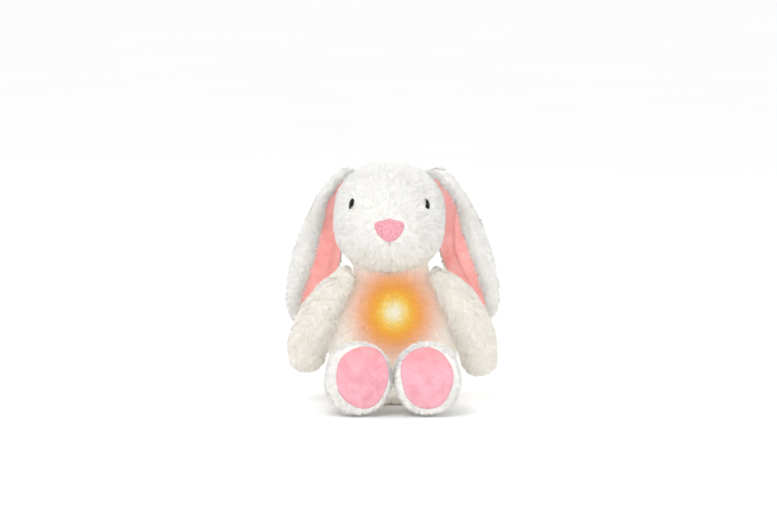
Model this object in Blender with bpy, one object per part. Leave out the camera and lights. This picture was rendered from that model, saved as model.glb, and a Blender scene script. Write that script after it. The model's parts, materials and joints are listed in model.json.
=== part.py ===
"""A seated plush rabbit with long lop ears, a glowing belly module and jointed limbs.

Metres, +Z up. The origin is the middle of the flat seat on the floor and the toy faces -Y.
"left" and "right" are the toy's own sides, so its left is +X.
Each fabric panel, wad of stuffing and module part is one closed solid.
"""

import math

import bmesh
import bpy
import numpy as np

# ---------------------------------------------------------------- driving dimensions
GAP = 0.0004            # clearance between pieces that touch
CLOTH = 0.0030          # plush pile and its backing
FILL_GAP = 0.0022       # play between a skin and the stuffing inside it
ROUNDNESS = 2.3         # exponent of the plump cross-sections

HEAD_CENTRE = np.array([-0.004, -0.008, 0.217])
HEAD_HALF = np.array([0.0655, 0.0630, 0.0635])
NECK_CENTRE = np.array([-0.002, 0.001, 0.1510])
NECK_RADIUS = 0.0155
NECK_HOLE = math.radians(22)
CROWN_SEAM = math.radians(25)

TORSO_CENTRE_Y = 0.006
TORSO_PROFILE = [       # height, half width, half depth
    (0.0000, 0.0520, 0.0440),
    (0.0034, 0.0600, 0.0520),
    (0.0120, 0.0690, 0.0580),
    (0.0300, 0.0745, 0.0615),
    (0.0520, 0.0755, 0.0625),
    (0.0560, 0.0752, 0.0622),
    (0.0600, 0.0748, 0.0620),
    (0.0850, 0.0700, 0.0590),
    (0.1060, 0.0635, 0.0540),
    (0.1100, 0.0620, 0.0526),
    (0.1140, 0.0603, 0.0510),
    (0.1260, 0.0545, 0.0455),
    (0.1380, 0.0465, 0.0385),
    (0.1445, 0.0395, 0.0330),
    (0.1475, 0.0310, 0.0265),
]
SEAT_PLATE_RINGS = 2    # the profile's first rings belong to the flat base panel
BACK_OPENING_HALF = 0.0270
BACK_OPENING_LOW = 0.0600
BACK_OPENING_HIGH = 0.1060

ARM_ROUTE = [           # x, y, z and radius from shoulder to paw, for the left arm
    (0.0490, -0.0120, 0.1550, 0.0100),
    (0.0590, -0.0160, 0.1450, 0.0150),
    (0.0705, -0.0200, 0.1300, 0.0195),
    (0.0820, -0.0225, 0.1130, 0.0225),
    (0.0905, -0.0235, 0.0950, 0.0240),
    (0.0970, -0.0235, 0.0770, 0.0243),
    (0.1010, -0.0235, 0.0600, 0.0235),
    (0.1030, -0.0235, 0.0460, 0.0190),
    (0.1030, -0.0235, 0.0365, 0.0115),
    (0.1030, -0.0235, 0.0310, 0.0035),
]

LEG_X = 0.0405
LEG_PROFILE = [         # y, half width, half height and height of the middle
    (-0.0640, 0.0230, 0.0230, 0.0430),
    (-0.0700, 0.0270, 0.0280, 0.0430),
    (-0.0800, 0.0310, 0.0325, 0.0432),
    (-0.0930, 0.0345, 0.0365, 0.0434),
    (-0.1060, 0.0375, 0.0405, 0.0438),
    (-0.1170, 0.0392, 0.0430, 0.0440),
    (-0.1260, 0.0385, 0.0420, 0.0440),
    (-0.1310, 0.0365, 0.0400, 0.0445),
    (-0.1330, 0.0330, 0.0368, 0.0450),
]
PAD_HALF = (0.0300, 0.0350)
PAD_X = 0.0385
PAD_Z = 0.0465
PAD_THICKNESS = 0.0020

EAR_ROOT = np.array([0.0430, -0.0040, 0.2760])
EAR_OUTER_EDGE = [      # x and z down the outer edge of the left ear
    (0.0470, 0.2800),
    (0.0590, 0.2755),
    (0.0715, 0.2650),
    (0.0850, 0.2455),
    (0.0995, 0.2190),
    (0.1115, 0.1900),
    (0.1200, 0.1620),
    (0.1250, 0.1370),
    (0.1255, 0.1170),
    (0.1225, 0.1010),
    (0.1170, 0.0920),
]
EAR_INNER_EDGE = [      # x and z down the inner edge, close to the head and then free
    (0.0405, 0.2740),
    (0.0465, 0.2680),
    (0.0540, 0.2600),
    (0.0615, 0.2440),
    (0.0625, 0.2220),
    (0.0560, 0.1980),
    (0.0555, 0.1790),
    (0.0625, 0.1550),
    (0.0760, 0.1300),
    (0.0930, 0.1080),
    (0.1100, 0.0930),
]
EAR_HANGING_Y = 0.0290  # both ears hang behind the arms
EAR_DRAPE_TOP = 0.264
EAR_DRAPE_LOW = 0.192
EAR_THICKNESS = 0.0040
EAR_ROWS = 13
LINING_THICKNESS = 0.0012
LINING_INSET = 0.42     # share of the ear's width that stays furry at the outer edge

EYE_RADIUS = 0.0068
EYE_DIRECTION = (math.radians(49.5), math.radians(20))   # round from the front, and up
NOSE_HALF = (0.0180, 0.0130)

MODULE_X = 0.004
CASE_HALF_WIDTH = 0.030
CASE_LOW = 0.056
CASE_HIGH = 0.116
CASE_FRONT_Y = -0.026
CASE_SPLIT_Y = -0.002
CASE_BACK_Y = 0.026
CASE_WALL = 0.0018
LAMP_Z = 0.0965
LAMP_RADIUS = 0.0130
BUTTON_X = MODULE_X - 0.0135
BUTTON_Z = 0.0695
BUTTON_RADIUS = 0.0080
SPEAKER_X = MODULE_X + 0.0145
SPEAKER_Z = 0.0725
SPEAKER_RADIUS = 0.0120
PCB_FRONT_Y = -0.0125
PCB_THICKNESS = 0.0016
CELL_RADIUS = 0.00525
CELL_LENGTH = 0.0445
CELL_PITCH = 0.0118
CELL_Y = 0.0150
CELL_LOW = 0.0640


# ---------------------------------------------------------------- small tools
def material(name, colour, roughness, metallic=0.0):
    made = bpy.data.materials.get(name)
    if made is None:
        made = bpy.data.materials.new(name)
        made.use_nodes = True
        shader = made.node_tree.nodes["Principled BSDF"]
        shader.inputs["Base Color"].default_value = (*colour, 1.0)
        shader.inputs["Roughness"].default_value = roughness
        shader.inputs["Metallic"].default_value = metallic
    return made


def add_mesh(name, points, faces, finish, origin=(0.0, 0.0, 0.0), sharp_angle=40):
    """One object whose origin is at the given point and whose faces look outwards."""
    shift = np.array(origin)
    mesh = bpy.data.meshes.new(name)
    mesh.from_pydata([tuple(np.array(p) - shift) for p in points], [], faces)
    work = bmesh.new()
    work.from_mesh(mesh)
    bmesh.ops.recalc_face_normals(work, faces=work.faces)
    if work.calc_volume(signed=True) < 0:
        bmesh.ops.reverse_faces(work, faces=work.faces)
    work.to_mesh(mesh)
    work.free()
    mesh.shade_smooth()
    mesh.set_sharp_from_angle(angle=math.radians(sharp_angle))
    made = bpy.data.objects.new(name, mesh)
    made.location = tuple(shift)
    bpy.context.collection.objects.link(made)
    mesh.materials.append(finish)
    return made


def loft(name, rings, finish, origin=(0.0, 0.0, 0.0), hollow=False):
    """A closed body through a row of closed rings with equal counts.

    Its ends are capped, or with hollow the last ring joins the first, as round a tube's wall.
    """
    count = len(rings[0])
    points = [p for ring in rings for p in ring]
    faces = []
    for row in range(len(rings) if hollow else len(rings) - 1):
        for i in range(count):
            j = (i + 1) % count
            low = row * count
            high = (row + 1) % len(rings) * count
            faces.append((low + i, low + j, high + j, high + i))
    if not hollow:
        faces.append(tuple(reversed(range(count))))
        faces.append(tuple(range(len(points) - count, len(points))))
    return add_mesh(name, points, faces, finish, origin)


def slab(name, front, back, finish, origin=(0.0, 0.0, 0.0)):
    """A closed sheet of cloth between two grids of points with equal rows and columns."""
    rows = len(front)
    columns = len(front[0])
    points = [p for row in front for p in row] + [p for row in back for p in row]
    far = rows * columns
    faces = []
    for r in range(rows - 1):
        for c in range(columns - 1):
            a = r * columns + c
            b = a + columns
            faces.append((a, a + 1, b + 1, b))
            faces.append((far + a, far + b, far + b + 1, far + a + 1))
    rim = [c for c in range(columns)]
    rim += [r * columns + columns - 1 for r in range(1, rows)]
    rim += [(rows - 1) * columns + c for c in range(columns - 2, -1, -1)]
    rim += [r * columns for r in range(rows - 2, 0, -1)]
    for k, a in enumerate(rim):
        b = rim[(k + 1) % len(rim)]
        faces.append((a, far + a, far + b, b))
    return add_mesh(name, points, faces, finish, origin)


def offset_profile(profile, distance):
    """Moves a profile of (along, radius) points inwards; its last point is the closed end."""
    line = np.array(profile, dtype=float)
    tangent = np.gradient(line, axis=0)
    tangent /= np.linalg.norm(tangent, axis=1)[:, None]
    moved = line.copy()
    moved[:, 0] -= distance * -tangent[:, 1] * np.sign(line[-1, 0] - line[0, 0])
    moved[:, 1] -= distance * np.abs(tangent[:, 0])
    return moved


def plump(angle, half_x, half_y, power=ROUNDNESS):
    """A point of a rounded oval."""
    c = math.cos(angle)
    s = math.sin(angle)
    x = half_x * math.copysign(abs(c) ** (2 / power), c)
    y = half_y * math.copysign(abs(s) ** (2 / power), s)
    return x, y


def box(name, low, high, finish, bevel=0.0):
    """A box between two corners, with a Bevel modifier where an edge is rounded."""
    middle = [(a + b) / 2 for a, b in zip(low, high)]
    work = bmesh.new()
    bmesh.ops.create_cube(work, size=1.0)
    for v in work.verts:
        v.co = [(high[k] - low[k]) * v.co[k] for k in range(3)]
    mesh = bpy.data.meshes.new(name)
    work.to_mesh(mesh)
    work.free()
    made = bpy.data.objects.new(name, mesh)
    made.location = middle
    bpy.context.collection.objects.link(made)
    mesh.materials.append(finish)
    if bevel > 0:
        rounding = made.modifiers.new("rounding", "BEVEL")
        rounding.width = bevel
        rounding.segments = 2
        rounding.limit_method = "ANGLE"
    return made


def turned(name, centre, axis, profile, finish, sides=16, hollow=False):
    """A round body turned about an axis: profile holds (distance along it, radius)."""
    along = np.array({"x": (1.0, 0, 0), "y": (0, 1.0, 0), "z": (0, 0, 1.0)}[axis])
    across = np.array({"x": (0, 1.0, 0), "y": (0, 0, 1.0), "z": (1.0, 0, 0)}[axis])
    third = np.cross(along, across)
    rings = []
    for distance, radius in profile:
        ring = []
        for i in range(sides):
            turn = 2 * math.pi * i / sides
            spoke = across * math.cos(turn) + third * math.sin(turn)
            ring.append(np.array(centre) + along * distance + spoke * radius)
        rings.append(ring)
    return loft(name, rings, finish, origin=centre, hollow=hollow)


def cutter(name, low, high):
    """A box that a Boolean takes away."""
    tool = box(name, low, high, material("cutter", (0.5, 0.5, 0.5), 0.5))
    tool.hide_render = True
    tool.display_type = "WIRE"
    return tool


def round_cutter(name, centre, axis, half_length, radius, sides=16):
    ends = [(-half_length, radius), (half_length, radius)]
    tool = turned(name, centre, axis, ends, material("cutter", (0.5, 0.5, 0.5), 0.5), sides)
    tool.hide_render = True
    tool.display_type = "WIRE"
    return tool


def cut(body, *tools):
    for tool in tools:
        step = body.modifiers.new("cut_" + tool.name, "BOOLEAN")
        step.operation = "DIFFERENCE"
        step.object = tool


def tube(name, points, radius, finish, sides=1):
    """A round wire along a POLY spline with filled caps."""
    curve = bpy.data.curves.new(name, "CURVE")
    curve.dimensions = "3D"
    curve.bevel_depth = radius
    curve.bevel_resolution = sides
    curve.use_fill_caps = True
    spline = curve.splines.new("POLY")
    spline.points.add(len(points) - 1)
    for knot, place in zip(spline.points, points):
        knot.co = (*place, 1.0)
    made = bpy.data.objects.new(name, curve)
    bpy.context.collection.objects.link(made)
    curve.materials.append(finish)
    return made


def coil(centre, axis, length, radius, turns, steps=9):
    """The points of a helix that starts at the centre and runs along +Y or +Z."""
    points = []
    for k in range(int(turns * steps) + 1):
        turn = 2 * math.pi * k / steps
        along = length * k / (turns * steps)
        a = radius * math.cos(turn)
        b = radius * math.sin(turn)
        if axis == "y":
            points.append((centre[0] + a, centre[1] + along, centre[2] + b))
        else:
            points.append((centre[0] + a, centre[1] + b, centre[2] + along))
    return points


PLUSH = material("white_plush", (0.93, 0.91, 0.87), 0.95)
SATIN = material("pink_satin", (0.96, 0.42, 0.42), 0.45)
PINK = material("pink_velour", (0.96, 0.47, 0.56), 0.9)
NOSE_PINK = material("nose_felt", (0.95, 0.40, 0.52), 0.85)
THREAD = material("thread", (0.80, 0.45, 0.48), 0.7)
FILLING = material("polyester_filling", (0.95, 0.95, 0.95), 1.0)
BEADS = material("bean_bag_cloth", (0.85, 0.82, 0.76), 0.9)
EYE_BLACK = material("eye_black", (0.01, 0.01, 0.012), 0.08)
WASHER = material("washer_plastic", (0.85, 0.85, 0.85), 0.5)
CASE_PLASTIC = material("case_plastic", (0.88, 0.88, 0.86), 0.5)
LAMP_PLASTIC = material("lamp_diffuser", (1.0, 0.78, 0.35), 0.35)
LED_EPOXY = material("led_epoxy", (1.0, 0.65, 0.15), 0.15)
BOARD = material("circuit_board", (0.03, 0.22, 0.09), 0.45)
CONE_PAPER = material("cone_paper", (0.05, 0.05, 0.05), 0.9)
STEEL = material("steel", (0.62, 0.62, 0.64), 0.3, 1.0)
CELL_SKIN = material("cell_sleeve", (0.12, 0.16, 0.30), 0.35)
BUTTON_PLASTIC = material("button_plastic", (0.90, 0.35, 0.35), 0.45)
SWITCH_BLACK = material("switch_black", (0.03, 0.03, 0.03), 0.5)
WIRE_RED = material("wire_red", (0.70, 0.05, 0.05), 0.5)
HOOK_TAPE = material("hook_tape", (0.90, 0.90, 0.90), 0.9)


# ---------------------------------------------------------------- head
def head_point(around, aside, inset=0.0):
    """A point of the head: around turns from the face over the crown, aside goes to +X."""
    direction = np.array([
        math.sin(aside),
        -math.cos(aside) * math.cos(around),
        math.cos(aside) * math.sin(around),
    ])
    half = HEAD_HALF - inset
    reach = float(np.sum(np.abs(direction / half) ** ROUNDNESS)) ** (-1 / ROUNDNESS)
    place = direction * reach
    rise = max(0.0, place[2] / half[2])
    place[0] *= 1 - 0.05 * rise * rise
    return HEAD_CENTRE + place


CROWN_TURNS = [2, 15, 30, 45, 60, 75, 90, 105, 120, 135, 150, 165, 178]
CHIN_TURNS = [195, 212, 228, 240, 247, 255, 262, 269, 277, 284, 300, 316, 332, 347]
NECK_TURN = 262


def seam_aside(turn):
    """How far from the middle plane a side panel of the head starts, as an angle."""
    closed = 0.004
    if 0 < turn < 180:
        return max(closed, CROWN_SEAM * math.sin(math.radians(turn)) ** 0.8)
    reach = NECK_HOLE ** 2 - math.radians(turn - NECK_TURN) ** 2
    return max(closed, math.sqrt(max(0.0, reach)))


def head_side(name, side):
    pole = math.radians(88)
    outer = []
    inner = []
    steps = [0.0, 0.2, 0.42, 0.64, 0.84, 1.0]
    for share in steps:
        ring = []
        lining = []
        for turn in CROWN_TURNS + CHIN_TURNS:
            aside = pole + (seam_aside(turn) - pole) * share
            ring.append(head_point(math.radians(turn), side * aside))
            lining.append(head_point(math.radians(turn), side * aside, CLOTH))
        outer.append(ring)
        inner.append(lining)
    return loft(name, outer + inner[::-1], PLUSH)


def head_gusset():
    shares = [-1, -0.6, -0.2, 0.2, 0.6, 1]
    front = []
    back = []
    for turn in CROWN_TURNS:
        reach = seam_aside(turn) - 0.008
        around = math.radians(turn)
        front.append([head_point(around, reach * s) for s in shares])
        back.append([head_point(around, reach * s, CLOTH) for s in shares])
    return slab("head_gusset", front, back, PLUSH)


def head_filling():
    """Stuffing with a round hollow below for the neck."""
    inset = CLOTH + FILL_GAP
    half = HEAD_HALF - inset
    hollow = NECK_RADIUS + 0.0010
    count = 20
    rings = []
    for polar in (5, 25, 45):
        drop = math.radians(polar)
        ring = []
        for i in range(count):
            turn = 2 * math.pi * i / count
            flat = hollow * math.sin(drop)
            ring.append(NECK_CENTRE + np.array([
                flat * math.cos(turn), flat * math.sin(turn), hollow * math.cos(drop)]))
        rings.append(ring)
    for polar in (28, 42, 56, 71, 88, 106, 124, 142, 158, 173):
        rise = math.radians(polar)
        ring = []
        for i in range(count):
            turn = 2 * math.pi * i / count
            direction = np.array([
                math.sin(rise) * math.cos(turn),
                math.sin(rise) * math.sin(turn),
                -math.cos(rise)])
            reach = float(np.sum(np.abs(direction / half) ** ROUNDNESS)) ** (-1 / ROUNDNESS)
            place = direction * reach
            lift = max(0.0, place[2] / half[2])
            place[0] *= 1 - 0.05 * lift * lift
            ring.append(HEAD_CENTRE + place)
        rings.append(ring)
    return loft("head_stuffing", rings, FILLING)


def nose():
    """A rounded triangle of felt lying on the face, point down."""
    rows = [(1.0, 0.80), (0.6, 1.0), (0.1, 0.86), (-0.4, 0.55), (-0.8, 0.28), (-1.0, 0.12)]
    lift = math.radians(-6)
    front = []
    back = []
    for height, width in rows:
        around = lift + height * NOSE_HALF[1] / HEAD_HALF[1]
        reach = width * NOSE_HALF[0] / HEAD_HALF[0]
        shares = (-1, -0.5, 0, 0.5, 1)
        front.append([head_point(around, reach * s, -0.0026) for s in shares])
        back.append([head_point(around, reach * s, -0.0006) for s in shares])
    return slab("nose_patch", front, back, NOSE_PINK)


def mouth():
    low = head_point(math.radians(-27), 0.0, -0.0012)
    high = head_point(math.radians(-20), 0.0, -0.0012)
    points = [low + (high - low) * k / 4 for k in range(5)]
    return tube("mouth_stitch", [tuple(p + np.array([0, -0.0006, 0])) for p in points], 0.0006, THREAD)


def eye(side, name):
    """A domed eye whose stem goes through the plush, and the washer that locks it."""
    across, up = EYE_DIRECTION
    turn_up = math.atan2(math.tan(up), math.cos(across))
    aside = math.asin(math.sin(across) * math.cos(up))
    face = head_point(turn_up, side * aside)
    step = 0.02
    outwards = np.cross(head_point(turn_up + step, side * aside) - face,
                        head_point(turn_up, side * (aside + step)) - face)
    outwards /= np.linalg.norm(outwards)
    if np.dot(outwards, face - HEAD_CENTRE) < 0:
        outwards = -outwards
    across_axis = np.cross(outwards, (0, 0, 1.0))
    across_axis /= np.linalg.norm(across_axis)
    up_axis = np.cross(across_axis, outwards)

    def rings(profile, sides=12):
        made = []
        for along, radius in profile:
            ring = []
            for i in range(sides):
                turn = 2 * math.pi * i / sides
                spoke = across_axis * math.cos(turn) + up_axis * math.sin(turn)
                ring.append(face + outwards * along + spoke * radius)
            made.append(ring)
        return made

    dome = [(0.0056, 0.0012), (0.0050, 0.0036), (0.0034, 0.0058), (0.0016, EYE_RADIUS),
            (0.0008, EYE_RADIUS * 0.96)]
    stem = [(0.0007, 0.0016), (-0.0125, 0.0016)]
    loft("eye_" + name, rings(dome + stem), EYE_BLACK, origin=face)
    inner = -0.0058
    washer = [(inner, 0.0021), (inner, 0.0075), (inner - 0.0012, 0.0075), (inner - 0.0012, 0.0021)]
    loft("eye_washer_" + name, rings(washer), WASHER, origin=face, hollow=True)
    return face, outwards


def eye_hole(name, face, outwards, radius, depth):
    """A cutter along an eye's stem."""
    across_axis = np.cross(outwards, (0, 0, 1.0))
    across_axis /= np.linalg.norm(across_axis)
    up_axis = np.cross(across_axis, outwards)
    rings = []
    for along in (0.004, -depth):
        ring = []
        for i in range(12):
            turn = 2 * math.pi * i / 12
            spoke = across_axis * math.cos(turn) + up_axis * math.sin(turn)
            ring.append(face + outwards * along + spoke * radius)
        rings.append(ring)
    tool = loft(name, rings, material("cutter", (0.5, 0.5, 0.5), 0.5))
    tool.hide_render = True
    tool.display_type = "WIRE"
    return tool


def make_head():
    left = head_side("head_side_left", 1)
    right = head_side("head_side_right", -1)
    head_gusset()
    filling = head_filling()
    nose()
    mouth()
    for side, name, panel in ((1, "left", left), (-1, "right", right)):
        face, outwards = eye(side, name)
        stem_hole = eye_hole("stem_hole_" + name, face, outwards, 0.0020, 0.0070)
        recess = eye_hole("washer_recess_" + name, face, outwards, 0.0082, 0.0140)
        cut(panel, stem_hole)
        cut(filling, recess)
    rings = []
    for polar in range(10, 180, 20):
        drop = math.radians(polar)
        ring = []
        for i in range(16):
            turn = 2 * math.pi * i / 16
            flat = NECK_RADIUS * math.sin(drop)
            ring.append(NECK_CENTRE + np.array([
                flat * math.cos(turn), flat * math.sin(turn), NECK_RADIUS * math.cos(drop)]))
        rings.append(ring)
    loft("neck_stuffing", rings, FILLING, origin=NECK_CENTRE)


# ---------------------------------------------------------------- ears
def smooth_line(points, count):
    """Evenly spread points on a smooth line through a few control points."""
    line = np.array(points, dtype=float)
    dense = []
    for k in range(len(line) - 1):
        before = line[max(0, k - 1)]
        after = line[min(len(line) - 1, k + 2)]
        for step in range(8):
            t = step / 8
            a = line[k]
            b = line[k + 1]
            dense.append(0.5 * (2 * a + (b - before) * t
                                + (2 * before - 5 * a + 4 * b - after) * t * t
                                + (3 * a - before - 3 * b + after) * t ** 3))
    dense.append(line[-1])
    dense = np.array(dense)
    spans = np.linalg.norm(np.diff(dense, axis=0), axis=1)
    run = np.concatenate([[0], np.cumsum(spans)])
    wanted = np.linspace(0, run[-1], count)
    return np.stack([np.interp(wanted, run, dense[:, k]) for k in range(dense.shape[1])], axis=1)


def drape(height):
    """How far back an ear hangs at a height."""
    share = (EAR_DRAPE_TOP - height) / (EAR_DRAPE_TOP - EAR_DRAPE_LOW)
    share = min(1.0, max(0.0, share))
    share = share * share * (3 - 2 * share)
    return EAR_ROOT[1] + (EAR_HANGING_Y - EAR_ROOT[1]) * share


def ear_grid(side, lift, across, rows):
    """Points over an ear: lift moves them along Y, across gives shares of its width."""
    outer = smooth_line(EAR_OUTER_EDGE, EAR_ROWS)
    inner = smooth_line(EAR_INNER_EDGE, EAR_ROWS)
    if side < 0:
        for point in inner:
            near_head = min(1.0, max(0.0, (point[1] - 0.150) / 0.040))
            near_head *= min(1.0, max(0.0, (0.276 - point[1]) / 0.016))
            point[0] -= 2 * HEAD_CENTRE[0] * near_head
    grid = []
    for row in rows:
        line = []
        for share in across:
            flat = inner[row] + (outer[row] - inner[row]) * share
            bow = 0.0030 * math.sin(math.pi * share)
            y = drape(flat[1]) + bow + lift
            line.append((side * flat[0], y, flat[1]))
        grid.append(line)
    return grid


def make_ear(side, name):
    shares = [0, 0.2, 0.4, 0.6, 0.8, 1.0]
    root = (side * EAR_ROOT[0], EAR_ROOT[1], EAR_ROOT[2])
    every = range(EAR_ROWS)
    half = EAR_THICKNESS / 2
    front = ear_grid(side, -half, shares, every)
    back = ear_grid(side, half, shares, every)
    slab("ear_%s_outer" % name, front, back, PLUSH, origin=root)
    inside = [0.04, 0.18, 0.31, 0.45, 1 - LINING_INSET]
    rows = range(2, EAR_ROWS - 1)
    near = -half - GAP
    far = near - LINING_THICKNESS
    lining_front = ear_grid(side, far, inside, rows)
    lining_back = ear_grid(side, near, inside, rows)
    slab("ear_%s_lining" % name, lining_front, lining_back, SATIN, origin=root)


# ---------------------------------------------------------------- limbs
def route_frames(route):
    """Centre, two cross directions and radius at each knot of a limb's route."""
    data = np.array(route)
    centres = data[:, :3]
    tangents = np.gradient(centres, axis=0)
    frames = []
    for centre, tangent, radius in zip(centres, tangents, data[:, 3]):
        forward = tangent / np.linalg.norm(tangent)
        across = np.cross(forward, (0, 1.0, 0))
        across /= np.linalg.norm(across)
        deep = np.cross(across, forward)
        frames.append((centre, across, deep, radius))
    return frames


def limb_rings(route, inset, first, side, count=14):
    """Rings around a route, drawn in by an inset."""
    frames = route_frames(route)
    run = [0.0]
    for a, b in zip(route[:-1], route[1:]):
        run.append(run[-1] + float(np.linalg.norm(np.array(b[:3]) - np.array(a[:3]))))
    profile = offset_profile([(s, f[3]) for s, f in zip(run, frames)], inset)
    rings = []
    for k in range(first, len(frames)):
        centre, across, deep, _ = frames[k]
        forward = np.cross(deep, across)
        if np.dot(forward, frames[-1][0] - frames[0][0]) < 0:
            forward = -forward
        middle = centre + forward * (profile[k][0] - run[k])
        radius = max(0.0012, profile[k][1])
        ring = []
        for i in range(count):
            turn = 2 * math.pi * i / count
            p = middle + across * (radius * math.cos(turn)) + deep * (radius * math.sin(turn))
            ring.append((side * p[0], p[1], p[2]))
        rings.append(ring)
    return rings


def make_arm(side, name):
    shoulder = (side * ARM_ROUTE[0][0], ARM_ROUTE[0][1], ARM_ROUTE[0][2])
    outer = limb_rings(ARM_ROUTE, 0.0, 1, side)
    inner = limb_rings(ARM_ROUTE, CLOTH, 1, side)
    loft("arm_%s_skin" % name, inner[::-1] + outer, PLUSH, origin=shoulder)
    core = limb_rings(ARM_ROUTE, CLOTH + GAP, 0, side)
    loft("arm_%s_stuffing" % name, core, FILLING, origin=shoulder)


def leg_rings(side, inset, first, count=18):
    widths = offset_profile([(-row[0], row[1]) for row in LEG_PROFILE], inset)
    heights = offset_profile([(-row[0], row[2]) for row in LEG_PROFILE], inset)
    sole = -LEG_PROFILE[-1][0] - inset
    rings = []
    for k in range(first, len(LEG_PROFILE)):
        forward = min(widths[k][0], sole)
        middle = LEG_PROFILE[k][3]
        ring = []
        for i in range(count):
            turn = 2 * math.pi * i / count
            x, z = plump(turn, widths[k][1], heights[k][1], 2.1)
            ring.append((side * (LEG_X + x), -forward, middle + z))
        rings.append(ring)
    return rings


def make_leg(side, name):
    hip = (side * LEG_X, LEG_PROFILE[2][0], LEG_PROFILE[2][3])
    outer = leg_rings(side, 0.0, 0)
    inner = leg_rings(side, CLOTH, 0)
    loft("leg_%s_skin" % name, inner[::-1] + outer, PLUSH, origin=hip)
    core = leg_rings(side, CLOTH + GAP, 0)
    loft("leg_%s_stuffing" % name, core, FILLING, origin=hip)
    front = LEG_PROFILE[-1][0] - GAP
    rings = []
    for depth, share in ((0.0, 0.97), (0.0008, 1.0), (0.0014, 0.97), (PAD_THICKNESS, 0.88)):
        ring = []
        for i in range(20):
            turn = 2 * math.pi * i / 20
            x, z = plump(turn, PAD_HALF[0] * share, PAD_HALF[1] * share, 2.1)
            ring.append((side * (PAD_X + x), front - depth, PAD_Z + z))
        rings.append(ring)
    loft("foot_pad_" + name, rings, PINK, origin=hip)


# ---------------------------------------------------------------- torso
def torso_sizes(inset):
    """The torso's profile drawn in by an inset, as height, half width and half depth."""
    line = np.array(TORSO_PROFILE)
    sizes = []
    for k, (height, wide, deep) in enumerate(TORSO_PROFILE):
        before = line[max(0, k - 1)]
        after = line[min(len(line) - 1, k + 1)]
        slope = after - before
        slope /= np.hypot(slope[0], slope[1])
        sizes.append((height + inset * slope[1], wide - inset * slope[0], deep - inset * slope[0]))
    return sizes


def torso_point(turn, size, out=0.0):
    x, y = plump(turn, size[1] + out, size[2] + out)
    return np.array([x, TORSO_CENTRE_Y + y, size[0]])


def back_gap(size):
    """The seam or the pocket opening at the middle of the back, as a half width."""
    seam = 0.0003
    inside = BACK_OPENING_LOW - 0.0005 < size[0] < BACK_OPENING_HIGH + 0.0005
    return BACK_OPENING_HALF if inside else seam


def torso_panel(name, front_side, side):
    outer = torso_sizes(0.0)[SEAT_PLATE_RINGS - 1:]
    inner = torso_sizes(CLOTH)[SEAT_PLATE_RINGS - 1:]
    inner[0] = (outer[0][0], inner[0][1], inner[0][2])
    steps = 6
    seam = 0.005
    front = []
    back = []
    for out, into in zip(outer, inner):
        if front_side:
            first = -math.pi / 2 + seam
            last = -seam
        else:
            share = back_gap(out) / out[1]
            first = seam
            last = math.pi / 2 - math.asin(share ** (ROUNDNESS / 2)) - 0.002
        turns = [first + (last - first) * k / steps for k in range(steps + 1)]
        outside = [torso_point(t, out) for t in turns]
        inside = [torso_point(t, into) for t in turns]
        front.append([(side * p[0], p[1], p[2]) for p in outside])
        back.append([(side * p[0], p[1], p[2]) for p in inside])
    return slab(name, front, back, PLUSH)


def torso_filling():
    """Stuffing with a round hollow above for the neck, standing on the bean bag."""
    inset = CLOTH + FILL_GAP
    count = 22
    rings = []
    for size in torso_sizes(inset):
        if 0.03 < size[0] < 0.1445:
            ring = []
            for i in range(count):
                ring.append(torso_point(2 * math.pi * i / count, size))
            rings.append(ring)
    floor = [np.array([p[0], p[1], 0.0300]) for p in rings[0]]
    rings.insert(0, floor)
    hollow = NECK_RADIUS + 0.0010
    for polar in (114, 135, 155, 174):
        drop = math.radians(polar)
        ring = []
        for i in range(count):
            turn = 2 * math.pi * i / count
            flat = hollow * math.sin(drop)
            ring.append(NECK_CENTRE + np.array([
                flat * math.cos(turn), flat * math.sin(turn), hollow * math.cos(drop)]))
        rings.append(ring)
    return loft("torso_stuffing", rings, FILLING)


def back_y(x, height, out):
    """The torso's back surface at a place, moved outwards."""
    heights = [row[0] for row in TORSO_PROFILE]
    wide = float(np.interp(height, heights, [row[1] for row in TORSO_PROFILE]))
    deep = float(np.interp(height, heights, [row[2] for row in TORSO_PROFILE]))
    share = 1 - abs(x / wide) ** ROUNDNESS
    return TORSO_CENTRE_Y + deep * share ** (1 / ROUNDNESS) + out


def back_sheet(name, half_width, low, high, near, far, finish, rows, columns, origin=(0, 0, 0)):
    """A sheet that lies over the back between two heights."""
    front = []
    back = []
    for r in range(rows + 1):
        height = low + (high - low) * r / rows
        outside = []
        inside = []
        for c in range(columns + 1):
            x = half_width * (2 * c / columns - 1)
            outside.append((x, back_y(x, height, far), height))
            inside.append((x, back_y(x, height, near), height))
        front.append(outside)
        back.append(inside)
    return slab(name, front, back, finish, origin)


FLAP_TOP = 0.1150
FLAP_LOW = 0.0460
FLAP_HALF = 0.0330
FLAP_HINGE = (0.0, back_y(0.0, FLAP_TOP, 0.0050), FLAP_TOP)


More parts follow.
